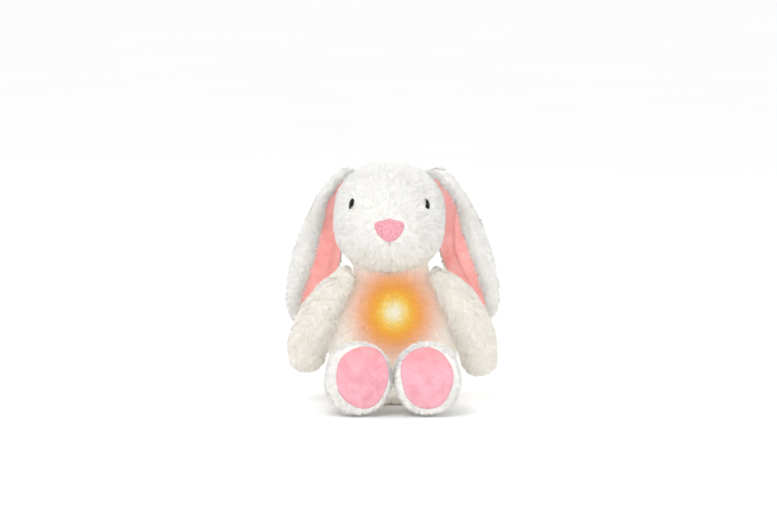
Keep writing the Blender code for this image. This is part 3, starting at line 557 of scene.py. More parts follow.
# ---------------------------------------------------------------- finishes
WHITE_SHADES = [strand_finish("plush_" + name, colour) for name, colour in (
    ("bright", (0.980, 0.972, 0.945)),
    ("plain", (0.970, 0.955, 0.915)),
    ("cream", (0.955, 0.930, 0.875)),
    ("deep", (0.925, 0.890, 0.825)),
)]
PAINTED_LAMP_GLOW = (1.0, 0.93, 0.82)      # painted glow: emission standing in for the lamp's light in the pile of the arms, belly and chin, which also lifts their shade
PAINTED_LAMP_GLOW_SHARE = 0.15
# cream shades of the pile whose warmth is partly painted lamp light, each with the painted glow as well
CREAM_GLOW_SHADES = [strand_finish("plush_cream_glow_" + name, colour, PAINTED_LAMP_GLOW, PAINTED_LAMP_GLOW_SHARE) for name, colour in (
    ("bright", (0.982, 0.955, 0.885)),
    ("plain", (0.970, 0.935, 0.845)),
    ("cream", (0.955, 0.908, 0.800)),
    ("deep", (0.930, 0.870, 0.750)),
)]
GLOW_RINGS = [           # outer radius and the colour seen there, from the lamp outwards
    (0.0024, (0.905, 0.880, 0.730)),
    (0.0071, (0.905, 0.840, 0.620)),
    (0.0118, (0.905, 0.753, 0.402)),
    (0.0166, (0.900, 0.651, 0.191)),
    (0.0213, (0.896, 0.533, 0.084)),
    (0.0262, (0.896, 0.445, 0.063)),
    (0.0308, (0.893, 0.407, 0.085)),
    (0.0356, (0.888, 0.413, 0.125)),
    (0.0404, (0.880, 0.440, 0.215)),
    (0.0452, (0.885, 0.500, 0.315)),
    (0.0500, (0.890, 0.560, 0.415)),
    (0.0550, (0.895, 0.630, 0.510)),
    (0.0600, (0.905, 0.700, 0.590)),
    (0.0660, (0.920, 0.780, 0.670)),
    (0.0740, (0.945, 0.860, 0.760)),
    (0.0860, (0.970, 0.905, 0.810)),
    (0.1000, (0.975, 0.920, 0.830)),
]
RING_HALF = 0.003        # half the usual width of a ring
STUDIO_LEVEL = 0.80      # how brightly the studio lights a white upright surface


def lit_share(radius):
    """How much of the colour at a radius is the lamp's own light."""
    return 0.56 - 0.04 * math.exp(-(radius / 0.022) ** 2)


def lit_base(colour, radius):
    return tuple(min(0.97, c * (1 - lit_share(radius)) / STUDIO_LEVEL) for c in colour)


GLOW_SHADES = [
    strand_finish("plush_lit_%d" % (k + 1), lit_base(colour, radius), colour, lit_share(radius))
    for k, (radius, colour) in enumerate(GLOW_RINGS)
]


def white_tint(root, tip):
    """Slots of white shades: mostly bright, creamier in soft patches."""
    value = wobble(root, 0.030, 11) * 0.30 + wobble(root, 0.008, 12) * 0.45
    value = value + rng.normal(size=len(root)) * 0.40
    return np.digitize(value, [0.05, 0.70, 1.25]).astype(np.int32)


def head_tint(root, tip):
    """White shades over the head: towards the chin, painted shade in deeper shades and painted lamp light
    in warm, glowing ones.
    """
    low = np.clip((0.200 - root[:, 2]) / 0.035, 0, 1) * (root[:, 1] < 0.02)
    # painted lamp light: near the chin most strands take the warm, glowing shades
    lamp_glow = rng.random(len(root)) < 0.85 * low
    # painted shade: near the chin strands are made one shade deeper
    shade = np.minimum(white_tint(root, tip) + (rng.random(len(root)) < 0.8 * low), len(WHITE_SHADES) - 1)
    return (shade + len(WHITE_SHADES) * lamp_glow).astype(np.int32)


def belly_tint(root, tip):
    """White shades away from the lamp, lit rings near it."""
    slots = white_tint(root, tip)
    gap = np.hypot(tip[:, 0] - GLOW[0], tip[:, 2] - GLOW[2])
    blurred = gap + rng.normal(size=len(root)) * 0.0022
    ring = np.digitize(blurred, [row[0] for row in GLOW_RINGS])
    lit = (ring < len(GLOW_RINGS)) & (tip[:, 1] < TORSO_Y)
    slots[lit] = len(WHITE_SHADES) + ring[lit]
    return slots.astype(np.int32)


def backing_finish(name):
    """The knitted backing under the pile: warm white, mottled, with short fibres in relief."""
    made = Finish(name)
    fibre = made.noise(900.0, 3.0)
    mixed = made.math("MULTIPLY_ADD", fibre, 0.4, made.noise(60.0, 4.0))
    colour = made.ramp(mixed, (0.35, (0.80, 0.78, 0.73)), (0.95, (0.93, 0.92, 0.89)))
    made.bump(fibre, 0.8, 0.0006)
    made.shade(Roughness=0.9, Specular_IOR_Level=0.15, Sheen_Weight=0.3)
    return made, colour


def lit_backing(name):
    """The backing behind the belly, tinted and lit in rings round the lamp."""
    made, colour = backing_finish(name)
    away = made.add("VectorMath", Vector=made.place())
    away.operation = "MULTIPLY_ADD"
    away.inputs[1].default_value = (1, 0, 1)
    away.inputs[2].default_value = (-GLOW[0], 0, -GLOW[2])
    far = made.add("VectorMath", Vector=away.outputs["Vector"])
    far.operation = "LENGTH"
    span = GLOW_RINGS[-1][0]
    share = made.math("DIVIDE", far.outputs["Value"], span)
    tints = []
    lights = []
    for radius, seen in GLOW_RINGS:
        position = max(0.0, (radius - RING_HALF) / span)
        tints.append((position, lit_base(seen, radius)))
        lights.append((position, tuple(lit_share(radius) * v for v in seen)))
    tint = made.ramp(share, *tints, (1.0, (1, 1, 1)))
    light = made.ramp(share, *lights, (1.0, (0.0, 0.0, 0.0)))
    in_front = made.math("LESS_THAN", made.split()["Y"], TORSO_Y - 0.02)
    return made.shade(Base_Color=made.mix(in_front, colour, tint, "MULTIPLY"), Emission_Color=light,
                      Emission_Strength=in_front)


PLAIN_BACKING, BACKING_COLOUR = backing_finish("plush_backing")
BACKING = PLAIN_BACKING.shade(Base_Color=BACKING_COLOUR)
BELLY_BACKING = lit_backing("plush_backing_lit")
SATIN = woven("pink_satin_weave", (0.90, 0.31, 0.29), (0.98, 0.49, 0.47), 0.00070, 0.00010, 0.46, 0.35,
              satin=True)
WADDING = mottled("polyester_wadding", (0.80, 0.80, 0.79), (0.95, 0.95, 0.94), 55.0, 0.95, 420.0,
                  0.0012, 0.2)
THREAD = mottled("pink_thread", (0.62, 0.30, 0.33), (0.78, 0.44, 0.47), 900.0, 0.70, 2600.0, 0.0002, 0.3)
def velour(name, low, high, lamp_glow):
    """Short pink pile: fine grains, soft brushed patches, and painted lamp light, a warmer tint mixed in
    higher up towards the lamp.
    """
    made = Finish(name)
    grain = made.noise(1100.0, 2.0)
    mixed = made.math("MULTIPLY_ADD", grain, 0.75, made.noise(70.0, 3.0))
    colour = made.ramp(mixed, (0.62, low), (1.10, high))
    # painted lamp light: the share of the warm tint rises with height on the pad
    rise = made.add("MapRange", From_Min=0.050, From_Max=0.086, To_Max=0.62, Value=made.split()["Z"])
    made.bump(grain, 0.7, 0.00035)
    return made.shade(Base_Color=made.mix(rise.outputs["Result"], colour, (*lamp_glow, 1)), Roughness=0.85,
                      Specular_IOR_Level=0.2, Sheen_Weight=0.55, Sheen_Roughness=0.45)


# the last colour is the painted lamp light's warm tint on the pads
VELOUR = velour("pink_velour_pile", (0.68, 0.265, 0.315), (0.78, 0.40, 0.47), (0.76, 0.29, 0.28))
NOSE_FELT = mottled("nose_velour", (0.60, 0.22, 0.27), (0.80, 0.40, 0.46), 420.0, 0.85, 1200.0,
                    0.0007, 0.5)


# ---------------------------------------------------------------- head
def head_surface(around, aside):
    """Points of the plump head: around turns from the face over the crown, aside goes to +X."""
    flat = np.cos(aside)
    direction = np.stack([np.sin(aside), -flat * np.cos(around), flat * np.sin(around)], axis=-1)
    far = np.sum(np.abs(direction / HEAD_HALF) ** HEAD_POWER, axis=-1) ** (-1 / HEAD_POWER)
    place = direction * far[..., None]
    rise = np.maximum(0.0, place[..., 2] / HEAD_HALF[2])
    place[..., 0] *= 1 - 0.05 * rise * rise
    return HEAD_CENTRE + place


def head_angles(points):
    """The around and aside angles of places on the head."""
    d = points - HEAD_CENTRE
    aside = np.arctan2(d[:, 0], np.hypot(d[:, 1], d[:, 2]))
    around = np.arctan2(d[:, 2], -d[:, 1])
    return around, aside


EYE_TURN_UP = math.atan2(math.tan(EYE_UP), math.cos(EYE_AROUND))
EYE_ASIDE = math.asin(math.sin(EYE_AROUND) * math.cos(EYE_UP))
EYE_PLACES = [head_surface(np.array(EYE_TURN_UP), np.array(side * EYE_ASIDE)) for side in (-1, 1)]
NOSE_PLACE = head_surface(np.array(NOSE_UP), np.array(0.0))


def head_relief(points):
    """Seams drawn in, dimples round the eyes and a soft muzzle, as a distance along the normal."""
    around, aside = head_angles(points)
    over = np.clip(np.sin(around), 0, 1) ** 0.8 * CROWN_SEAM
    upper = around > 0
    crown = np.where(upper, np.exp(-((np.abs(aside) - over) * 0.062 / 0.0022) ** 2), 0.0)
    middle = np.where(upper, 0.0, np.exp(-(aside * 0.062 / 0.0022) ** 2))
    depth = -0.0009 * crown - 0.0011 * middle
    for place in EYE_PLACES:
        gap = np.linalg.norm(points - place, axis=1)
        depth -= 0.0030 * np.exp(-(gap / 0.0100) ** 2)
    muzzle = np.linalg.norm((points - NOSE_PLACE - (0, 0, -0.010)) * (1.0, 0.5, 1.1), axis=1)
    depth += 0.0022 * np.exp(-(muzzle / 0.026) ** 2)
    aside_share = np.abs(points[:, 0] - HEAD_CENTRE[0]) / HEAD_HALF[0]
    up_share = np.clip((points[:, 2] - HEAD_CENTRE[2]) / HEAD_HALF[2], 0, 1)
    depth += CROWN_FULLNESS * np.clip(2 * aside_share * up_share, 0, 1) ** 3
    depth += CROWN_RISE * np.clip((up_share - 0.55) / 0.40, 0, 1) ** 2
    depth += 0.0006 * wobble(points, 0.045, 30)
    return depth


def make_head():
    rings = []
    for k in range(1, 96):
        aside = np.full(128, math.pi * (k / 96 - 0.5))
        around = turns(128) - math.pi
        rings.append(head_surface(around, aside))
    outside = Shape(*ring_grid(rings))
    outside = outside.moved(head_relief(outside.points))
    skin = outside.moved(-SKIN_DEPTH)
    cover("head_skin", skin, BACKING, "head", "white_plush", 0.9, "head_side_left", "head_side_right",
          "head_gusset")

    def lay(root, normal):
        away = unit(root - NOSE_PLACE)
        down = np.array([0, 0, -1.0]) + normal * 0
        low = np.clip((0.205 - root[:, 2]) / 0.05, 0, 1)[:, None]
        back = np.clip((root[:, 1] - 0.0) / 0.04, 0, 1)[:, None]
        return away * (1 - 0.6 * low) * (1 - back) + down * (0.15 + low + back)

    def keep(spots, normal):
        sparse = np.ones(len(spots))
        for place in EYE_PLACES:
            sparse *= np.linalg.norm(spots - place, axis=1) > EYE_RADIUS * 0.72
        around, aside = head_angles(spots)
        height = (around - NOSE_UP) * 0.062
        wide = np.abs(aside) * 0.064
        inside = (wide < nose_half_width(height) - 0.001) & (spots[:, 1] < HEAD_CENTRE[1])
        return sparse * np.where(inside, 0.0, 1.0)

    def length(root):
        near = np.min([np.linalg.norm(root - place, axis=1) for place in EYE_PLACES], axis=0)
        nose = np.linalg.norm(root - NOSE_PLACE, axis=1)
        short = 1 - 0.30 * np.exp(-(near / 0.011) ** 2) - 0.35 * np.exp(-(nose / 0.024) ** 2)
        return PILE * short

    fur("head_fur", "head", skin, 96000, lay, WHITE_SHADES + CREAM_GLOW_SHADES, head_tint, keep, length)


NOSE_OUTLINE = [         # height over the nose's middle and half width, in metres
    (0.0146, 0.0000),
    (0.0136, 0.0036),
    (0.0122, 0.0078),
    (0.0116, 0.0124),
    (0.0100, 0.0164),
    (0.0060, 0.0177),
    (0.0000, 0.0158),
    (-0.0055, 0.0122),
    (-0.0095, 0.0076),
    (-0.0117, 0.0034),
    (-0.0122, 0.0000),
]


def nose_half_width(height):
    rows = np.array(NOSE_OUTLINE)[::-1]
    wide = np.interp(height, rows[:, 0], rows[:, 1])
    return np.where((height < rows[0, 0]) | (height > rows[-1, 0]), -1.0, wide)


def make_nose():
    """A padded rounded triangle with a peak, its edge turned under, and a ring of small stitches."""
    half = np.array(NOSE_OUTLINE)
    loop = np.concatenate([half, half[-2:0:-1] * (1, -1)])
    closed = np.concatenate([loop, loop[:1]])
    edge = smooth_line(closed, 73)[:-1]
    middle = np.array([0.001, 0.0])
    rings = []
    levels = [(1.0, -0.0016), (1.02, 0.0002), (1.0, 0.0011), (0.94, 0.0020), (0.82, 0.0027), (0.6, 0.0032),
              (0.35, 0.0034), (0.12, 0.0035)]
    for share, lift in levels:
        flat = middle + (edge - middle) * share
        around = NOSE_UP + flat[:, 0] / 0.062
        aside = flat[:, 1] / 0.064
        place = head_surface(around, aside)
        out = unit(place - HEAD_CENTRE)
        rings.append(place + out * (lift - 0.0008))
    cover("nose", Shape(*ring_grid(rings)), NOSE_FELT, "head", "nose_felt", 0.6, "nose_patch")
    stitches = []
    count = 40
    for k in range(count):
        at = edge[int(k * 72 / count)]
        flat = middle + (at - middle) * 1.0
        inner = middle + (at - middle) * 0.90
        ends = []
        for spot, lift in ((flat, 0.0010), (inner, 0.0036)):
            place = head_surface(np.array(NOSE_UP + spot[0] / 0.062), np.array(spot[1] / 0.064))
            ends.append(place + unit(place - HEAD_CENTRE) * (lift - 0.0014))
        stitches.append(capsule(ends[0], ends[1], 0.00028))
    sewn("nose_stitches", stitches, "head")


STITCH_SHAPE = [         # share of a stitch's length, share of its radius
    (0.0, 0.35),
    (0.06, 0.8),
    (0.2, 1.0),
    (0.5, 1.05),
    (0.8, 1.0),
    (0.94, 0.8),
    (1.0, 0.35),
]


def capsule(start, end, radius, sides=8, bow=None):
    """A short round-ended thread between two points, arched by bow."""
    start = np.asarray(start, float)
    end = np.asarray(end, float)
    along = unit(end - start)
    across = unit(np.cross(along, (0.31, 0.52, 0.79)))
    deep = np.cross(along, across)
    rings = []
    for share, size in STITCH_SHAPE:
        middle = start + (end - start) * share
        if bow is not None:
            middle = middle + np.asarray(bow) * math.sin(math.pi * share)
        turn = turns(sides)[:, None]
        rings.append(middle + radius * size * (across * np.cos(turn) + deep * np.sin(turn)))
    return Shape(*ring_grid(rings))


def joined(shapes):
    """One shape out of several that don't touch."""
    points = []
    quads = []
    triangles = []
    total = 0
    for shape in shapes:
        points.append(shape.points)
        quads.append(shape.quads + total)
        triangles.append(shape.triangles + total)
        total += len(shape.points)
    made = Shape.__new__(Shape)
    made.points = np.concatenate(points)
    made.quads = np.concatenate(quads)
    made.triangles = np.concatenate(triangles)
    return made


def tube_along(points, radius, sides=12):
    """A round tube on a line of points, radius a number or one for each point."""
    line = np.asarray(points, float)
    radius = np.broadcast_to(radius, len(line))
    along = unit(np.gradient(line, axis=0))
    across = unit(np.cross(along[0], (0.31, 0.52, 0.79)))
    rings = []
    turn = turns(sides)[:, None]
    for middle, forward, size in zip(line, along, radius):
        across = unit(across - forward * (across @ forward))
        deep = np.cross(forward, across)
        rings.append(middle + size * (across * np.cos(turn) + deep * np.sin(turn)))
    return Shape(*ring_grid(rings))


PLY_RADIUS = 0.00032     # how far a ply of the mouth thread winds round its middle


def make_mouth():
    """A twisted double thread down from the nose."""
    plies = []
    for ply in range(2):
        line = []
        for k in range(41):
            share = k / 40
            place = head_surface(np.array(math.radians(-8 - 13 * share)), np.array(0.0))
            out = unit(place - HEAD_CENTRE)
            turn = share * 22 + ply * math.pi
            twist = np.array([PLY_RADIUS * math.cos(turn), 0, 0])
            line.append(place + out * (0.0010 + PLY_RADIUS * math.sin(turn)) + twist)
        plies.append(tube_along(line, 0.00036, 8))
    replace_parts(sewn("mouth_thread", plies, "head"), "mouth_stitch")


EYE_GLOSS = mottled("eye_gloss", (0.003, 0.003, 0.004), (0.008, 0.007, 0.007), 300.0, 0.16, 900.0, 0.00001,
                    Specular_IOR_Level=0.12, Coat_Weight=0.05, Coat_Roughness=0.05)


def make_eyes():
    """Glossy domed eyes on ribbed stems, turned to the sides and sunk in their dimples."""
    for side, name, place in ((-1, "right", EYE_PLACES[0]), (1, "left", EYE_PLACES[1])):
        d = place - HEAD_CENTRE
        out = unit(np.sign(d) * np.abs(d / HEAD_HALF) ** (HEAD_POWER - 1) / HEAD_HALF)
        place = place - out * EYE_SUNK
        out = unit(out + np.array([side * EYE_TURN_OUT, 0, EYE_TURN_OUT * 0.15]))
        across = unit(np.cross(out, (0, 0, 1.0)))
        deep = np.cross(across, out)
        profile = [(-0.0095, 0.0008), (-0.0095, 0.0014)]
        for k in range(5):
            profile.append((-0.0090 + k * 0.0011, 0.0016))
            profile.append((-0.0085 + k * 0.0011, 0.0013))
        profile += [(-0.0034, 0.0016), (-0.0030, 0.0050), (-0.0028, EYE_RADIUS * 0.97),
                    (-0.0022, EYE_RADIUS), (-0.0014, EYE_RADIUS)]
        for k in range(1, 12):
            turn = math.pi / 2 * k / 12
            profile.append((-0.0014 + 0.0032 * math.sin(turn), EYE_RADIUS * math.cos(turn)))
        turn = turns(48)[:, None]
        rings = [place + out * along + radius * (across * np.cos(turn) + deep * np.sin(turn) * EYE_TALL)
                 for along, radius in profile]
        made = piece("eye_%s_dome" % name, Shape(*ring_grid(rings)), EYE_GLOSS, "head")
        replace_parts(made, "eye_" + name)


# ---------------------------------------------------------------- torso
def torso_surface(levels, around):
    """The torso's outline at rising heights, closed over the seat and the neck."""
    line = smooth_line(TORSO_PROFILE, levels)
    seat = [(0.0, *line[0][1:] * share) for share in (0.35, 0.7)]
    neck = [(line[-1][0], *line[-1][1:] * share) for share in (0.7, 0.35)]
    rings = []
    for height, wide, deep in seat + list(line) + neck:
        x, y = oval(turns(around), wide, deep, HEAD_POWER)
        rings.append(places(x, TORSO_Y + y, height))
    return Shape(*ring_grid(rings))


def torso_relief(points):
    """The belly, back and side seams drawn in a little, and the plump shape's slow unevenness."""
    middle = np.exp(-(points[:, 0] / 0.0022) ** 2)
    sides = np.exp(-((points[:, 1] - TORSO_Y) / 0.0022) ** 2) * (np.abs(points[:, 0]) > 0.02)
    upright = np.clip((points[:, 2] - 0.004) / 0.010, 0, 1)
    return (-0.0012 * middle - 0.0009 * sides + 0.0007 * wobble(points, 0.050, 31)) * upright


def make_torso():
    outside = torso_surface(110, 160)
    outside = outside.moved(torso_relief(outside.points))
    inset = SKIN_DEPTH * np.clip((outside.points[:, 2] - 0.0002) / 0.006, 0.05, 1)
    skin = outside.moved(-inset)
    centres = skin.points[skin.quads].mean(1)
    open_back = ((np.abs(centres[:, 0]) < POCKET_HALF) & (centres[:, 2] > POCKET_LOW)
                 & (centres[:, 2] < POCKET_HIGH) & (centres[:, 1] > TORSO_Y))
    skin.quads = skin.quads[~open_back]
    cover("torso_skin", skin, BELLY_BACKING, "root", "white_plush", 0.9, "torso_front_left",
          "torso_front_right", "torso_back_left", "torso_back_right", "torso_base_panel")

    def lay(root, normal):
        down = np.tile(np.array([0, 0, -1.0]), (len(root), 1))
        outwards = np.sign(root[:, 0]) * np.clip(np.abs(root[:, 0]) / 0.05, 0, 1) * 0.35
        down[:, 0] += outwards
        return down

    def keep(spots, normal):
        dense = np.where((spots[:, 2] < 0.004) & (normal[:, 2] < -0.6), 0.0, 1.0)
        low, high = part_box("back_flap")
        under = ((np.abs(spots[:, 0]) < high[0] - 0.002) & (spots[:, 2] > low[2] + 0.003)
                 & (spots[:, 2] < high[2] - 0.004) & (spots[:, 1] > TORSO_Y))
        return dense * np.where(under, 0.0, 1.0)

    fur("torso_fur", "root", skin, 92000, lay, CREAM_GLOW_SHADES + GLOW_SHADES, belly_tint, keep)


# ---------------------------------------------------------------- limbs
def route_surface(route, levels, around, side):
    line = smooth_line(route, levels)
    centres = line[:, :3]
    along = unit(np.gradient(centres, axis=0))
    turn = turns(around)[:, None]
    rings = []
    for middle, forward, radius in zip(centres, along, line[:, 3]):
        across = unit(np.cross(forward, (0, 1.0, 0)))
        deep = np.cross(across, forward)
        rings.append(middle + radius * (across * np.cos(turn) + deep * np.sin(turn)))
    rings = np.array(rings)
    rings[:, :, 0] *= side
    return Shape(*ring_grid(rings))


def arm_route(side):
    """The arm's middle line with a domed shoulder and a domed paw; the right paw hangs a little higher."""
    high = ARM_ROUTE[0]
    raised = 0.0048 if side < 0 else 0.0004
    out = 0.0034 if side < 0 else 0.0010
    dome = [(high[0] - 0.0040 + out, high[1], high[2] + 0.0042, 0.0018),
            (high[0] - 0.0030 + out, high[1], high[2] + 0.0034, 0.0060),
            (high[0] + 0.0004 + out, high[1], high[2] + 0.0004, 0.0108)]
    paw = [(PAW_X, ARM_ROUTE[-1][1], height + raised, radius) for height, radius in PAW_DOME]
    middle = [(a, b, c + raised * np.clip((0.09 - c) / 0.04, 0, 1), r) for a, b, c, r in ARM_ROUTE[1:]]
    return dome + middle + paw


def make_arm(side, name):
    outside = route_surface(arm_route(side), 110, 72, side)
    seam = np.exp(-((np.abs(outside.points[:, 1] + 0.0075) - 0.0) / 0.0020) ** 2)
    outside = outside.moved(-0.0008 * seam + 0.0008 * wobble(outside.points, 0.034, 40 + side))
    skin = outside.moved(-SKIN_DEPTH)
    cover("arm_%s_cover" % name, skin, BACKING, "arm_" + name, "white_plush", 0.85, "arm_%s_skin" % name)

    def length(root):
        shoulder = np.clip((root[:, 2] - 0.146) / 0.010, 0, 1)
        return PILE * (1.0 - 0.35 * shoulder)

    fur("arm_%s_fur" % name, "arm_" + name, skin, 36000, combed(0.25 * side, 0, -1), CREAM_GLOW_SHADES,
        white_tint, length=length)


def leg_surface(levels, around, side):
    """The leg's outline from the hip to the sole, closed over the sole."""
    line = smooth_line(LEG_PROFILE, levels)
    depth, wide, tall, middle = line[-1]
    sole = [(depth, wide * share, tall * share, middle) for share in (0.75, 0.45, 0.2)]
    rings = []
    for depth, wide, tall, middle in list(line) + sole:
        x, z = oval(turns(around), wide, tall, PAD_POWER)
        rings.append(places(side * (LEG_X + x), depth, middle + z))
    return Shape(*ring_grid(rings))


def make_leg(side, name):
    outside = leg_surface(70, 96, side)
    flat = np.clip((outside.points[:, 1] - LEG_PROFILE[-1][0]) / 0.004, 0, 1)
    outside = outside.moved(0.0006 * wobble(outside.points, 0.040, 50 + side) * flat)
    skin = outside.moved(-SKIN_DEPTH * (0.15 + 0.85 * flat))
    skin.points[:, 2] = np.maximum(skin.points[:, 2], 0.0012)
    cover("leg_%s_cover" % name, skin, BACKING, "leg_" + name, "white_plush", 0.9, "leg_%s_skin" % name)
    centre = np.array([side * LEG_X, LEG_PROFILE[-1][3]])

    def lay(root, normal):
        out = unit(np.stack([root[:, 0] - centre[0], 0 * root[:, 0], root[:, 2] - centre[1]], axis=1))
        sole = np.clip((LEG_PROFILE[-3][0] - root[:, 1]) / 0.006, 0, 1)[:, None]
        around = np.stack([out[:, 0] * 0.9, 0.25 + 0 * root[:, 0], -np.ones(len(root))], axis=1)
        return around * (1 - sole) + (out * 0.7 + (0, 0, -0.5)) * sole

    def length(root):
        return PILE * np.where(root[:, 1] < LEG_PROFILE[-3][0], 0.78, 1.0)

    def keep(spots, normal):
        x = spots[:, 0] - PAD_PLACES[side][0]
        z = spots[:, 2] - PAD_PLACES[side][1]
        inside = np.hypot(x, z) < pad_reach(side, np.arctan2(z, x)) - 0.0005
        return np.where(inside & (spots[:, 1] < LEG_PROFILE[-2][0] + 0.001), 0.0, 1.0)

    fur("leg_%s_fur" % name, "leg_" + name, skin, 36000, lay, WHITE_SHADES, white_tint, keep, length)
    make_pad(side, name)


def pad_reach(side, turn):
    """Half width of a foot pad in a direction: an egg that leans towards the other foot."""
    shifted = turn - PAD_LEANS[side]
    far = reach(np.cos(shifted), np.sin(shifted), PAD_HALF[0], PAD_HALF[1] * 1.01, PAD_POWER)
    return far * (1 + 0.022 * np.sin(shifted * 3 + side) + 0.014 * np.cos(shifted * 5))


def make_pad(side, name):
    """A crowned oval of velour with a turned-in edge, sewn round with small stitches."""
    turn = turns(96)
    far = pad_reach(side, turn)
    centre = PAD_PLACES[side]
    sole = LEG_PROFILE[-1][0] - 0.0004
    rings = []
    levels = [(0.93, 0.0), (0.985, 0.0003), (1.0, 0.0009), (0.985, 0.0016), (0.95, 0.0021), (0.88, 0.0027)]
    for share in (0.75, 0.6, 0.45, 0.3, 0.15, 0.04):
        levels.append((share, 0.0021 + PAD_CROWN * (1 - share ** 2) ** 0.8))
    for share, lift in levels:
        x = centre[0] + share * far * np.cos(turn)
        z = centre[1] + share * far * np.sin(turn)
        place = places(x, sole - lift, z)
        place[:, 1] -= 0.0004 * wobble(place, 0.018, 60 + side) * (1 - share)
        rings.append(place)
    cover("foot_%s_velour" % name, Shape(*ring_grid(rings)), VELOUR, "leg_" + name, "pink_velour", 0.7,
          "foot_pad_" + name)
    stitches = []
    count = 64
    for k in range(count):
        a = 2 * math.pi * k / count
        size = float(pad_reach(side, np.array(a)))
        ends = []
        for share, lift in ((0.955, 0.0026), (1.005, 0.0014)):
            x = centre[0] + size * share * math.cos(a)
            ends.append((x, sole - lift, centre[1] + size * share * math.sin(a)))
        stitches.append(capsule(ends[0], ends[1], 0.00025, 6))
    sewn("foot_%s_stitches" % name, stitches, "leg_" + name)


# ---------------------------------------------------------------- ears
def drape(height):
    share = np.clip((EAR_DRAPE_TOP - height) / (EAR_DRAPE_TOP - EAR_DRAPE_LOW), 0, 1)
    return EAR_ROOT_Y + (EAR_HANGING_Y - EAR_ROOT_Y) * eased(share)


def ear_edges(side, rows):
    outer = smooth_line(EAR_OUTER_EDGE, rows)
    inner = smooth_line(EAR_INNER_EDGE, rows)
    if side < 0:
        near = np.clip((inner[:, 1] - 0.150) / 0.040, 0, 1) * np.clip((0.276 - inner[:, 1]) / 0.016, 0, 1)
        inner[:, 0] -= 2 * HEAD_CENTRE[0] * near
    beside = np.clip((inner[:, 1] - 0.170) / 0.030, 0, 1) * np.clip((0.274 - inner[:, 1]) / 0.012, 0, 1)
    inner[:, 0] -= EAR_TUCK * beside
    return inner, outer


def ear_place(side, inner, outer, share, lift):
    """Points of an ear at shares of its width, one column for each share, lifted along Y."""
    flat = inner[:, None] + (outer - inner)[:, None] * share[..., None]
    y = drape(flat[..., 1]) + 0.0030 * np.sin(math.pi * np.clip(share, 0, 1)) + lift
    return np.stack([side * flat[..., 0], y, flat[..., 1]], axis=-1)


def lining_edges(along):
    """First and last share of the ear's width that the satin covers, down the ear: a long drop shape."""
    swell = eased(np.clip((along - 0.02) / 0.26, 0, 1))
    close = np.sqrt(np.clip(1 - np.clip((along - 0.84) / 0.12, 0, 1) ** 2, 0, 1))
    middle = LINING_FROM + (LINING_TO - LINING_FROM) * (0.14 + 0.36 * swell)
    half = (LINING_TO - LINING_FROM) * (0.14 + 0.36 * swell) * close
    return middle - half, middle + half


FOLD = [                 # x and z down the long fold of the left lining
    (0.0725, 0.2250),
    (0.0730, 0.1950),
    (0.0732, 0.1770),
    (0.0790, 0.1620),
    (0.0835, 0.1506),
    (0.0930, 0.1300),
]


def lining_folds(side, x, z):
    """How far the satin stands forward: slow ripples, and on the left ear one long fold."""
    spots = np.stack([x, z * 0.4, 0 * x], axis=-1).reshape(-1, 3)
    depth = 0.0005 * wobble(spots, 0.013, 70 + side).reshape(x.shape)
    if side < 0:
        slant = (x - 0.074) + 0.25 * (z - 0.170)
        return depth + 0.0009 * np.exp(-(slant / 0.004) ** 2) * np.exp(-((z - 0.165) / 0.030) ** 2)
    line = smooth_line(FOLD, 40)
    gap = np.hypot(x[..., None] - line[:, 0], z[..., None] - line[:, 1])
    nearest = gap.argmin(-1)
    away = x - line[nearest, 0] + 0.35 * (z - line[nearest, 1])
    fade = np.sin(math.pi * np.clip((nearest + 1) / 42, 0, 1)) ** 0.7
    step = 1 / (1 + np.exp(-away / 0.0008))
    return depth + 0.0036 * step * np.exp(-np.clip(away, 0, None) / 0.016) * fade


